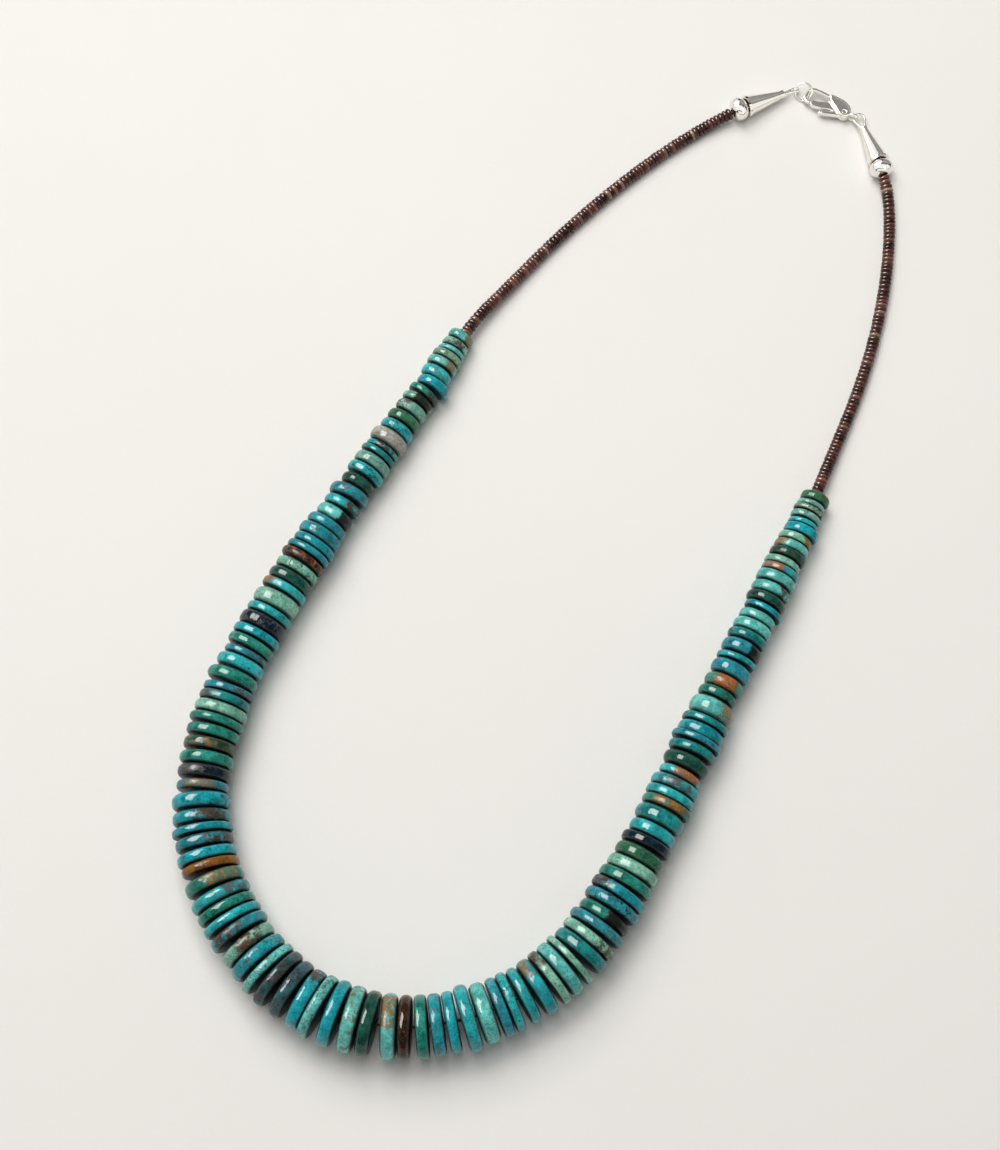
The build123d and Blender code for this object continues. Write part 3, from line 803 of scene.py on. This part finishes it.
def measured(points: list[Vector], normal: Vector) -> DiscPlace:
    """Measures a disc whose axis is level.

    Args:
        points: The disc's points.
        normal: The normal of its flat sides.

    Returns:
        The disc's place and size.
    """
    axis = Vector((normal.x, normal.y, 0.0)).normalized()
    side = axis.cross(UP)
    along = [point.dot(axis) for point in points]
    across = [point.dot(side) for point in points]
    high = [point.z for point in points]
    centre = axis * middle(along) + side * middle(across) + UP * middle(high)
    radius = (max(high) - min(high)) / 2
    inner = [point for point in points if (point - centre).length < BORE_ZONE * radius]
    bore = [point - centre for point in inner] or [Vector()]
    bore_centre = (side * middle([point.dot(side) for point in bore])
                   + UP * middle([point.z for point in bore]))
    return DiscPlace(centre, axis, radius, max(along) - min(along), bore_centre)


class DiscSize(NamedTuple):
    """The size of a disc's blank in metres, and how far its rims are ground back."""

    radius: float
    thickness: float
    rounding: float


@dataclass
class DiscCutter:
    """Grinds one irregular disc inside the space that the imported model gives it.

    Its bore is in metres and its angles in radians. The other sizes are shares of the
    disc's radius, thickness or rounding.
    """

    sides: int = 56
    round_steps: int = 5
    side_cuts: int = 2
    bore_radius: float = 0.60 * MM
    bore_edge: float = 1.2
    rim_edge: float = 1.6
    least_round: float = 0.34
    most_round: float = 0.46
    least_thickness: float = 0.985
    out_of_round: float = 0.022
    lump_scale: float = 2.0
    lump_spacing: float = 3.7
    lump_middle: float = 0.5
    wedge: float = 0.05
    dish: float = 0.03
    shift_start: float = 0.2
    shift_width: float = 0.7
    shoulder_reach: float = 1.5
    shoulder_slope: float = 0.25
    shoulder_width: float = 0.35
    # Where the painted shade between neighbouring discs starts and how far it grows, as shares
    # of the rounding
    gap_shade_start: float = 0.16
    gap_shade_width: float = 0.40
    clock_width: float = math.radians(48)
    clock_reach: float = 1.5
    clock_gain: float = 0.22
    darkest: float = 0.90
    lightest: float = 1.12
    vein_shadow: float = 0.45

    def blank(self, size: DiscSize) -> bmesh.types.BMesh:
        """A drilled disc about the Z axis with rounded rims.

        Args:
            size: Its size.

        Returns:
            A bmesh with the disc at the origin.
        """
        disc = bmesh.new()
        bmesh.ops.create_cone(disc, cap_ends=True, segments=self.sides, radius1=size.radius,
                              radius2=size.radius, depth=size.thickness)
        caps = [face for face in disc.faces if len(face.verts) > QUAD_CORNERS]
        rims = [edge for edge in disc.edges
                if abs(edge.verts[0].co.z - edge.verts[1].co.z) < MERGE_DISTANCE]
        bmesh.ops.inset_individual(disc, faces=caps, use_even_offset=False,
                                   thickness=size.radius - self.bore_radius)
        bmesh.ops.bevel(disc, geom=rims, offset=size.rounding, segments=self.round_steps,
                        profile=0.5, affect="EDGES", material=-1, clamp_overlap=True)
        caps = [face for face in disc.faces if len(face.verts) > QUAD_CORNERS]
        loops = [edge for face in caps for edge in face.edges]
        bmesh.ops.delete(disc, geom=caps, context="FACES_ONLY")
        bmesh.ops.bridge_loops(disc, edges=loops)
        inner = [edge for edge in disc.edges if self.is_spoke(edge)]
        bmesh.ops.subdivide_edges(disc, edges=inner, cuts=self.side_cuts,
                                  use_grid_fill=True)
        bmesh.ops.recalc_face_normals(disc, faces=disc.faces)
        return disc

    def is_spoke(self, edge: bmesh.types.BMEdge) -> bool:
        """True for an edge that runs from the bore to the rim of a flat side."""
        near, far = sorted(vertex.co.xy.length / self.bore_radius for vertex in edge.verts)
        return near < self.bore_edge and far > self.rim_edge

    def cut(self, place: DiscPlace, bead: Bead, seed: int) -> bpy.types.Mesh:
        """Grinds, places and paints one disc.

        Args:
            place: The space that it fills.
            bead: Its stone and vein.
            seed: What its irregularities are drawn from.

        Returns:
            The disc's mesh, in place.
        """
        rng = random.Random(seed)
        thickness = place.thickness * rng.uniform(self.least_thickness, 1.0)
        rounding = thickness * rng.uniform(self.least_round, self.most_round)
        size = DiscSize(place.radius, thickness, rounding)
        disc = self.blank(size)
        patterns = [self.pattern(bead, vertex.co, size) for vertex in disc.verts]
        # Painted shade on the faces between neighbouring discs, darkest away from the rim
        painted_gap_shade = [self.painted_gap_shade(vertex.co, size) for vertex in disc.verts]
        self.distort(disc, place, seed, rng)
        turn = Matrix((place.outward, UP, place.axis)).transposed()
        bmesh.ops.rotate(disc, verts=disc.verts, cent=(0, 0, 0), matrix=turn)
        bmesh.ops.translate(disc, verts=disc.verts, vec=place.centre)
        mesh = bpy.data.meshes.new(f"disc_{seed:03d}")
        disc.to_mesh(mesh)
        disc.free()
        paint(mesh, "pattern", patterns)
        paint(mesh, "painted_gap_shade", painted_gap_shade)
        self.dress(mesh, bead, rng)
        return mesh

    def distort(self, disc: bmesh.types.BMesh, place: DiscPlace, seed: int,
                rng: random.Random) -> None:
        """Makes a blank lumpy, wedged and dished, and moves its bore to its place.

        Args:
            disc: The blank.
            place: The space that it fills.
            seed: Where its lumps are read from the noise.
            rng: What its other irregularities are drawn from.
        """
        tilt = rng.uniform(0.0, math.tau)
        wedge = rng.uniform(0.0, self.wedge)
        dish = abs(rng.uniform(-self.dish, self.dish))
        offset = Vector((place.bore_centre.dot(place.outward), place.bore_centre.z, 0.0))
        for vertex in disc.verts:
            flat = vertex.co.xy
            share = min(flat.length / place.radius, 1.0)
            spot = flat * self.lump_scale / place.radius
            lump = noise.noise(Vector((*spot, seed * self.lump_spacing)))
            squeeze = 1.0 - self.out_of_round * (self.lump_middle + lump) * share
            angle = math.atan2(flat.y, flat.x)
            narrow = 1.0 - wedge * (1.0 + math.cos(angle - tilt)) / 2 * share
            narrow *= 1.0 - dish * smoothstep(1.0 - share)
            shift = 1.0 - smoothstep((share - self.shift_start) / self.shift_width)
            vertex.co = vertex.co * Vector((squeeze, squeeze, narrow))
            vertex.co += offset * shift

    def worn(self, point: Vector, size: DiscSize) -> float:
        """How worn a blank is: most on the shoulder between the rim and a flat side.

        Args:
            point: The point on it.
            size: Its size.

        Returns:
            The wear from 0 to 1.
        """
        if point.xy.length < size.radius - self.shoulder_reach * size.rounding:
            return 0.0
        slope = (size.thickness / 2 - abs(point.z)) / max(size.rounding, MERGE_DISTANCE)
        return smoothstep(1.0 - abs(slope - self.shoulder_slope) / self.shoulder_width)

    def painted_gap_shade(self, point: Vector, size: DiscSize) -> Colour:
        """How dark a point of a blank is painted, as a grey: painted shade on the faces between
        two discs, growing in from the rounded rim.
        """
        depth = (size.radius - point.xy.length) / size.rounding
        return (smoothstep((depth - self.gap_shade_start) / self.gap_shade_width),) * 3

    def pattern(self, bead: Bead, point: Vector, size: DiscSize) -> Colour:
        """The web, blotch and worn edge at a point of a blank.

        Args:
            bead: The disc's stone and vein.
            point: The point on its blank.
            size: The blank's size.

        Returns:
            The three masks, each from 0 to 1.
        """
        look = bead.vein.value
        worn = self.worn(point, size)
        if bead.clock is None:
            return (look.web, look.blotch, worn)
        away = abs(math.atan2(-point.x, point.y) - math.radians(bead.clock))
        near = smoothstep(self.clock_reach - away / self.clock_width)
        return (look.web * near, (look.blotch + self.clock_gain) * near, worn)

    def dress(self, mesh: bpy.types.Mesh, bead: Bead, rng: random.Random) -> None:
        """Gives a disc's mesh its own colours.

        Args:
            mesh: The mesh.
            bead: Its stone and vein.
            rng: What its lightness is drawn from.
        """
        stone, vein = bead.stone.value, bead.vein.value
        light = rng.uniform(self.darkest, self.lightest)
        count = len(mesh.vertices)
        paint(mesh, "stone", [scaled(shade(stone.main), light)] * count)
        paint(mesh, "second", [scaled(shade(stone.second), light)] * count)
        paint(mesh, "vein", [shade(vein.colour)] * count)
        paint(mesh, "vein_second", [scaled(shade(vein.colour), self.vein_shadow)] * count)


def joined(name: str, meshes: Iterable[bpy.types.Mesh]) -> bpy.types.Mesh:
    """Joins meshes that carry the same attributes into one.

    Args:
        name: The new mesh's name.
        meshes: The meshes, which are removed.

    Returns:
        The joined mesh.
    """
    parts = [bpy.data.objects.new(f"{name}_{at}", mesh) for at, mesh in enumerate(meshes)]
    for part in parts:
        bpy.context.scene.collection.objects.link(part)
    with bpy.context.temp_override(active_object=parts[0], object=parts[0],
                                   selected_objects=parts, selected_editable_objects=parts):
        bpy.ops.object.join()
    mesh = parts[0].data
    bpy.data.objects.remove(parts[0])
    mesh.name = name
    return mesh


@dataclass
class TurquoiseString:
    """The graded turquoise discs, numbered from the left strand round the front."""

    left_node: str = "turquoise_string_left"
    right_node: str = "turquoise_string_right"
    front_prefix: str = "turquoise_disc_"
    cutter: DiscCutter = field(default_factory=DiscCutter)
    finish: TurquoiseFinish = TurquoiseFinish()

    def places(self, node: str, downwards: bool) -> list[DiscPlace]:
        """The discs of one node, sorted from the front or, downwards, from the back."""
        found = [measured(*island) for island in islands(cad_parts[node].data)]
        return sorted(found, key=lambda disc: disc.centre.y, reverse=downwards)

    def measure(self) -> dict[str, list[DiscPlace]]:
        """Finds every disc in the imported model.

        Returns:
            The discs of each node, in order, with their axes along the string.
        """
        nodes = {self.left_node: self.places(self.left_node, True)}
        for name in sorted(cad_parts):
            if name.startswith(self.front_prefix):
                nodes[name] = self.places(name, True)
        nodes[self.right_node] = self.places(self.right_node, False)
        order = [disc for discs in nodes.values() for disc in discs]
        ahead = order[1:] + [order[-1]]
        behind = [order[0]] + order[:-1]
        aligned = iter([disc if disc.axis.dot(after.centre - before.centre) > 0
                        else disc.reversed()
                        for disc, before, after in zip(order, behind, ahead)])
        return {name: [next(aligned) for _ in discs] for name, discs in nodes.items()}

    def build(self) -> list[DiscPlace]:
        """Cuts every disc, and replaces the plain ones.

        Returns:
            The places of all discs, in order.
        """
        material = self.finish.material()
        nodes = self.measure()
        beads = iter(enumerate(BEADS))
        for node, discs in nodes.items():
            cuts = []
            for place in discs:
                seed, bead = next(beads)
                cuts.append(self.cutter.cut(place, bead, seed))
            mesh = joined(f"{node}_stones", cuts) if len(cuts) > 1 else cuts[0]
            name = node.replace("turquoise", "stone")
            piece = new_piece(name, mesh, material, "root")
            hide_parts(node)
        return [disc for discs in nodes.values() for disc in discs]


class RoutePoint(NamedTuple):
    """A point of the bead thread, in millimetres."""

    x: float
    y: float
    z: float


LEFT_ROUTE = [
    RoutePoint(45.8, 98.6, 2.04), RoutePoint(40.7, 96.4, 2.55), RoutePoint(33.0, 92.5, 1.3),
    RoutePoint(22.5, 85.2, 1.3), RoutePoint(11.2, 75.6, 1.3), RoutePoint(0.7, 65.4, 1.3),
    RoutePoint(-9.3, 54.2, 1.55), RoutePoint(-17.9, 44.3, 2.88), RoutePoint(-25.3, 31.1, 3.53),
]
RIGHT_ROUTE = [
    RoutePoint(68.9, 87.3, 2.06), RoutePoint(70.6, 82.0, 2.55), RoutePoint(72.1, 74.0, 1.3),
    RoutePoint(70.8, 59.6, 1.3), RoutePoint(67.7, 45.2, 1.3), RoutePoint(63.1, 31.3, 1.3),
    RoutePoint(57.2, 17.8, 1.4), RoutePoint(51.2, 4.3, 3.18), RoutePoint(44.5, -9.3, 3.97),
]
ROUTE_SHIFT = Vector((-0.052, 0.118, 0.035))
ROUTE_ORDER = 3
ROUTE_STEPS = 24


def centre_line(route: list[RoutePoint]) -> list[Vector]:
    """Reads the smooth line of a route.

    Args:
        route: Its control points.

    Returns:
        Close points along the route's spline, in metres.
    """
    curve = bpy.data.curves.new("route", "CURVE")
    curve.dimensions = "3D"
    spline = curve.splines.new("NURBS")
    spline.points.add(len(route) - 1)
    for control, point in zip(spline.points, route):
        control.co = ((Vector(point) + ROUTE_SHIFT) * MM).to_4d()
    spline.order_u = ROUTE_ORDER
    spline.use_endpoint_u = True
    spline.resolution_u = ROUTE_STEPS
    holder = bpy.data.objects.new("route", curve)
    mesh = bpy.data.meshes.new_from_object(holder)
    line = [vertex.co.copy() for vertex in mesh.vertices]
    bpy.data.objects.remove(holder)
    bpy.data.curves.remove(curve)
    bpy.data.meshes.remove(mesh)
    return line


@dataclass
class Line:
    """A smooth line that can be walked by distance."""

    points: list[Vector]
    marks: list[float] = field(init=False)

    def __post_init__(self) -> None:
        """Adds up the distance to every point."""
        self.marks = [0.0]
        for before, after in zip(self.points, self.points[1:]):
            self.marks.append(self.marks[-1] + (after - before).length)

    def nearest(self, place: Vector) -> float:
        """The distance along the line to the point nearest to a place."""
        at = min(range(len(self.points)), key=lambda i: (self.points[i] - place).length)
        return self.marks[at]

    def at(self, distance: float) -> tuple[Vector, Vector]:
        """Walks along the line.

        Args:
            distance: How far.

        Returns:
            The place there, and the line's direction.
        """
        last = len(self.points) - 2
        at = next((i for i in range(last) if self.marks[i + 1] >= distance), last)
        run = self.points[at + 1] - self.points[at]
        share = (distance - self.marks[at]) / run.length
        return self.points[at] + run * share, run.normalized()


SHELL_TINTS = ["46282a", "573430", "331c1c", "643f3a", "4a2e2e", "7d5648", "382524", "583a38"]
PALE_SHELL_TINTS = ["8f7468", "9c8272", "7f6257"]


@dataclass
class ShellStrand:
    """A strand of small shell discs between a silver bead and the turquoise."""

    node: str
    bead_node: str
    route: list[RoutePoint]
    seed: int
    diameter: float = 2.6 * MM
    bore: float = 1.0 * MM
    pitch: float = 0.91 * MM
    clearance: float = 0.15 * MM
    bead_half: float = 1.7 * MM
    sides: int = 22
    shoulder: float = 0.30
    narrowest: float = 0.78
    widest: float = 1.22
    fill: float = 0.93
    smallest: float = 0.93
    largest: float = 0.995
    lean: float = math.radians(5.0)
    pale_share: float = 0.04
    darkest: float = 0.80
    lightest: float = 1.15

    def disc(self, thickness: float, diameter: float) -> bmesh.types.BMesh:
        """One small disc about the Z axis.

        Args:
            thickness: Its thickness.
            diameter: Its outer diameter.

        Returns:
            A bmesh with the disc at the origin.
        """
        disc = bmesh.new()
        bore, rim, half = self.bore / 2, diameter / 2, thickness / 2
        shoulder = self.shoulder * thickness
        corners = [(bore, -half), (rim - shoulder, -half), (rim, -half + shoulder),
                   (rim, half - shoulder), (rim - shoulder, half), (bore, half)]
        verts = [disc.verts.new((x, 0.0, z)) for x, z in corners]
        edges = [disc.edges.new(pair) for pair in zip(verts, verts[1:] + verts[:1])]
        bmesh.ops.spin(disc, geom=verts + edges, cent=(0, 0, 0), axis=(0, 0, 1),
                       angle=math.tau, steps=self.sides, use_merge=True)
        bmesh.ops.remove_doubles(disc, verts=disc.verts, dist=MERGE_DISTANCE)
        bmesh.ops.recalc_face_normals(disc, faces=disc.faces)
        return disc

    def build(self, first_stone: DiscPlace) -> None:
        """Strings the discs, and replaces the plain tube.

        Args:
            first_stone: The turquoise disc at the strand's far end.
        """
        rng = random.Random(self.seed)
        line = Line(centre_line(self.route))
        start = line.nearest(box_middle(self.bead_node)) + self.bead_half + self.clearance
        end = line.nearest(first_stone.centre) - first_stone.thickness / 2 - self.clearance
        count = round((end - start) / self.pitch)
        widths = [rng.uniform(self.narrowest, self.widest) for _ in range(count)]
        total = sum(widths)
        walked = start
        meshes = []
        for number, width in enumerate(widths):
            width *= (end - start) / total
            place, direction = line.at(walked + width / 2)
            walked += width
            meshes.append(self.strung(number, place, direction, width, rng))
        piece = new_piece(self.node.replace("shell_strand", "shell_discs"),
                          joined(f"{self.node}_discs", meshes),
                          self.material, "root")
        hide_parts(self.node)

    def strung(self, number: int, place: Vector, direction: Vector, width: float,
               rng: random.Random) -> bpy.types.Mesh:
        """Places one disc on the thread.

        Args:
            number: Its number in the strand.
            place: Its centre.
            direction: The thread's direction there.
            width: The length of thread that it takes.
            rng: What its irregularities are drawn from.

        Returns:
            The disc's mesh, in place.
        """
        disc = self.disc(width * self.fill,
                         self.diameter * rng.uniform(self.smallest, self.largest))
        across = direction.cross(UP).normalized()
        turn = Matrix((across, direction.cross(across), direction)).transposed()
        tip = Matrix.Rotation(rng.uniform(-self.lean, self.lean), 3, UP)
        bmesh.ops.rotate(disc, verts=disc.verts, cent=(0, 0, 0), matrix=tip @ turn)
        bmesh.ops.translate(disc, verts=disc.verts, vec=place)
        mesh = bpy.data.meshes.new(f"shell_{number:03d}")
        disc.to_mesh(mesh)
        disc.free()
        pale = rng.random() < self.pale_share
        tint = shade(rng.choice(PALE_SHELL_TINTS if pale else SHELL_TINTS))
        tint = scaled(tint, rng.uniform(self.darkest, self.lightest))
        paint(mesh, "tint", [tint] * len(mesh.vertices))
        return mesh

    @property
    def material(self) -> bpy.types.Material:
        """The shell finish, made once for both strands."""
        return bpy.data.materials.get(ShellFinish.name) or ShellFinish().material()


@dataclass
class Casting:
    """A cast piece of the clasp, its edges rolled over as tumbling leaves them."""

    node: str
    body: str
    grain: float = 0.08 * MM
    passes: int = 60
    stoutness: float = 0.0
    softening: float = 0.5
    tail_reach: float = 0.6 * MM
    tail_fade: float = 0.8 * MM
    neck_reach: float = 4.2 * MM
    neck_fade: float = 1.6 * MM

    def skin(self) -> bmesh.types.BMesh:
        """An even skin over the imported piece.

        Returns:
            A bmesh with the skin in place.
        """
        copy = bmesh.new()
        copy.from_mesh(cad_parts[self.node].data)
        bmesh.ops.remove_doubles(copy, verts=copy.verts, dist=MERGE_DISTANCE)
        mesh = bpy.data.meshes.new(f"{self.node}_skin")
        copy.to_mesh(mesh)
        holder = bpy.data.objects.new(mesh.name, mesh)
        bpy.context.scene.collection.objects.link(holder)
        remesh = holder.modifiers.new("remesh", "REMESH")
        remesh.mode = "VOXEL"
        remesh.voxel_size = self.grain
        even = bpy.data.meshes.new_from_object(
            holder.evaluated_get(bpy.context.evaluated_depsgraph_get()))
        copy.clear()
        copy.from_mesh(even)
        bpy.data.objects.remove(holder)
        bpy.data.meshes.remove(mesh)
        bpy.data.meshes.remove(even)
        return copy

    def softness(self, point: Vector, rivet: Vector, ahead: Vector) -> float:
        """How much a point is rolled over: fully by the rivet, not at the wires.

        Args:
            point: The point.
            rivet: The middle of the rivet.
            ahead: The level direction from the rivet to the jump ring.

        Returns:
            The softness from 0 to 1.
        """
        along = (point - rivet).dot(ahead)
        front = (self.neck_reach - along) / self.neck_fade
        behind = (along + self.tail_reach + self.tail_fade) / self.tail_fade
        return smoothstep(front) * smoothstep(behind)

    def build(self, material: bpy.types.Material) -> bpy.types.Object:
        """Makes the casting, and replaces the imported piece.

        Args:
            material: Its finish.

        Returns:
            The casting.
        """
        rivet, ring = box_middle("clasp_rivet"), box_middle("jump_ring")
        ahead = Vector((ring.x - rivet.x, ring.y - rivet.y, 0.0)).normalized()
        skin = self.skin()
        weights = [(self.softness(v.co, rivet, ahead) * self.passes, v) for v in skin.verts]
        for number in range(self.passes):
            soft = [vertex for weight, vertex in weights if weight > number]
            bmesh.ops.smooth_vert(skin, verts=soft, factor=self.softening,
                                  use_axis_x=True, use_axis_y=True, use_axis_z=True)
        skin.normal_update()
        for vertex in skin.verts:
            vertex.co += vertex.normal * self.stoutness
        mesh = bpy.data.meshes.new(f"{self.node}_cast")
        skin.to_mesh(mesh)
        skin.free()
        piece = new_piece(f"{self.node}_cast", mesh, material, self.body)
        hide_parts(self.node)
        return piece


@dataclass
class SilverEnds:
    """The silver beads, cones, eyes, ring and clasp, and the thread."""

    wire: tuple[str, ...] = ("wire_eye_left", "wire_eye_right", "jump_ring", "clasp_rivet")
    turned: tuple[str, ...] = ("silver_bead_left", "silver_bead_right",
                               "end_cone_left", "end_cone_right")
    thread: str = "bead_thread"

    def finish(self, nodes: Iterable[str],
               material: bpy.types.Material) -> list[bpy.types.Object]:
        """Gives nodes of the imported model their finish.

        Args:
            nodes: The nodes' names.
            material: The finish.

        Returns:
            The nodes.
        """
        pieces = [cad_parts[name] for name in nodes]
        for piece in pieces:
            piece.data.materials.clear()
            piece.data.materials.append(material)
            log.info("%s: finished with %s", piece.name, material.name)
        return pieces

    def build(self) -> list[bpy.types.Object]:
        """Finishes every silver piece and the thread.

        Returns:
            The silver pieces.
        """
        cast = SilverFinish("cast_silver", polish=0.10, tarnish=0.20).material()
        pieces = [Casting("clasp_body", "root", stoutness=0.06 * MM).build(cast),
                  Casting("clasp_lever", "lever", passes=16, stoutness=0.10 * MM).build(cast)]
        drawn = SilverFinish("silver_wire", polish=0.06, tarnish=0.15).material()
        pieces += self.finish(self.wire, drawn)
        spun = SilverFinish("polished_silver", polish=0.04, tarnish=0.12).material()
        pieces += self.finish(self.turned, spun)
        self.finish([self.thread], ThreadFinish().material())
        return pieces


class Reach(Enum):
    """What a soft light acts on."""

    SHADE = "all surfaces, without a reflection"
    GLOSS = "the reflection in all glossy surfaces but the silver"
    METAL = "the silver only"


@dataclass(frozen=True)
class SoftBox:
    """A soft light: its place and size in metres, and how bright its face is."""

    name: str
    place: tuple[float, float, float]
    width: float
    height: float
    radiance: float
    reach: Reach
    tone: str = "fffcf8"


LIGHTS = [
    SoftBox("window", (-0.84, 0.46, 1.12), 1.30, 1.00, 21.0, Reach.GLOSS),
    SoftBox("window_silver", (-0.80, 0.44, 1.06), 1.20, 1.00, 3.0, Reach.METAL),
    SoftBox("key", (-0.36, 0.74, 1.14), 0.90, 0.90, 4.25, Reach.SHADE),
    SoftBox("fill", (-0.10, 0.10, 0.62), 0.45, 0.45, 2.95, Reach.SHADE),
    SoftBox("tent_top", (-0.10, -0.50, 1.22), 2.40, 1.50, 1.06, Reach.METAL),
    SoftBox("tent_front", (0.0, -1.50, 0.45), 2.40, 0.80, 1.02, Reach.METAL),
    SoftBox("tent_front_right", (1.30, -0.70, 0.75), 1.70, 1.50, 1.02, Reach.METAL),
    SoftBox("tent_left", (-1.50, 0.0, 0.60), 2.40, 1.20, 1.00, Reach.METAL),
    SoftBox("tent_back_left", (-0.80, 1.20, 0.80), 1.80, 1.50, 1.00, Reach.METAL),
    SoftBox("tent_back_right", (0.95, 1.05, 0.70), 1.90, 1.30, 0.33, Reach.METAL),
    SoftBox("tent_ridge", (0.26, 0.64, 1.12), 1.20, 0.80, 0.28, Reach.METAL),
]


@dataclass
class Studio:
    """The table, the soft lights and the camera."""

    metal: list[bpy.types.Object]
    aim: Vector = field(default_factory=lambda: Vector((-10.95, -8.4, 0.035)) * MM)
    camera_elevation: float = 72.0
    camera_distance: float = 379.9 * MM
    focal_pixels: float = 1900.0
    image_height: float = 1150.0
    sensor: float = 36.0
    clip_start: float = 0.01
    clip_end: float = 20.0
    table_width: float = 4.0
    table_squares: int = 4
    sky_tone: str = "fffdfa"
    sky_strength: float = 0.25

    def table(self) -> None:
        """Lays the pale table under the necklace."""
        flat = bmesh.new()
        bmesh.ops.create_grid(flat, x_segments=self.table_squares,
                              y_segments=self.table_squares, size=self.table_width / 2)
        mesh = bpy.data.meshes.new("table")
        flat.to_mesh(mesh)
        flat.free()
        mesh.materials.append(PaperFinish().material())
        table = bpy.data.objects.new("table", mesh)
        bpy.context.scene.collection.objects.link(table)

    def camera(self) -> None:
        """Places the camera at the photograph's angle."""
        data = bpy.data.cameras.new("camera")
        data.sensor_width = self.sensor
        data.lens = self.sensor * self.focal_pixels / self.image_height
        data.clip_start, data.clip_end = self.clip_start, self.clip_end
        camera = bpy.data.objects.new("camera", data)
        elevation = math.radians(self.camera_elevation)
        back = Vector((0.0, -math.cos(elevation), math.sin(elevation)))
        camera.location = self.aim + back * self.camera_distance
        camera.rotation_euler = (math.pi / 2 - elevation, 0.0, 0.0)
        bpy.context.scene.collection.objects.link(camera)
        bpy.context.scene.camera = camera

    def softbox(self, box: SoftBox) -> None:
        """Hangs a soft light that faces the necklace.

        Args:
            box: The light.
        """
        data = bpy.data.lights.new(box.name, "AREA")
        data.shape = "RECTANGLE"
        data.size, data.size_y = box.width, box.height
        data.energy = box.radiance * math.pi * box.width * box.height
        data.color = shade(box.tone)
        light = bpy.data.objects.new(box.name, data)
        light.location = box.place
        light.rotation_euler = (-Vector(box.place)).to_track_quat("-Z", "Y").to_euler()
        light.visible_glossy = box.reach is not Reach.SHADE
        light.visible_diffuse = box.reach is not Reach.GLOSS
        if box.reach is not Reach.SHADE:
            light.light_linking.receiver_collection = self.linked_metal(box)
        bpy.context.scene.collection.objects.link(light)

    def linked_metal(self, box: SoftBox) -> bpy.types.Collection:
        """The silver, marked as what a light is kept to or, for gloss, kept off.

        Args:
            box: The light.

        Returns:
            The collection for the light's linking.
        """
        metal = bpy.data.collections.new(f"{box.name}_metal")
        for piece in self.metal:
            metal.objects.link(piece)
        if box.reach is Reach.GLOSS:
            for member in metal.collection_objects:
                member.light_linking.link_state = "EXCLUDE"
        return metal

    def sky(self) -> None:
        """Sets the even light that fills the shadows."""
        world = bpy.data.worlds.new("studio")
        world.use_nodes = True
        background = world.node_tree.nodes["Background"]
        background.inputs["Color"].default_value = (*shade(self.sky_tone), 1.0)
        background.inputs["Strength"].default_value = self.sky_strength
        world.cycles_visibility.glossy = False
        bpy.context.scene.world = world

    def build(self) -> None:
        """Sets the table, lights and camera."""
        self.table()
        for box in LIGHTS:
            self.softbox(box)
        self.sky()
        self.camera()
        bpy.context.scene.view_settings.view_transform = "Standard"


def write_sizes() -> None:
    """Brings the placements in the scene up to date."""
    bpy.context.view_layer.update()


def main() -> None:
    """Builds the pieces in order, then sets the scene."""
    logging.basicConfig(level=logging.INFO, format="%(name)s: %(message)s")
    stones = TurquoiseString().build()
    left = ShellStrand("shell_strand_left", "silver_bead_left", LEFT_ROUTE, seed=11)
    right = ShellStrand("shell_strand_right", "silver_bead_right", RIGHT_ROUTE, seed=12)
    left.build(stones[0])
    right.build(stones[-1])
    metal = SilverEnds().build()
    Studio(metal).build()
    write_sizes()


if __name__ == "__main__":
    main()
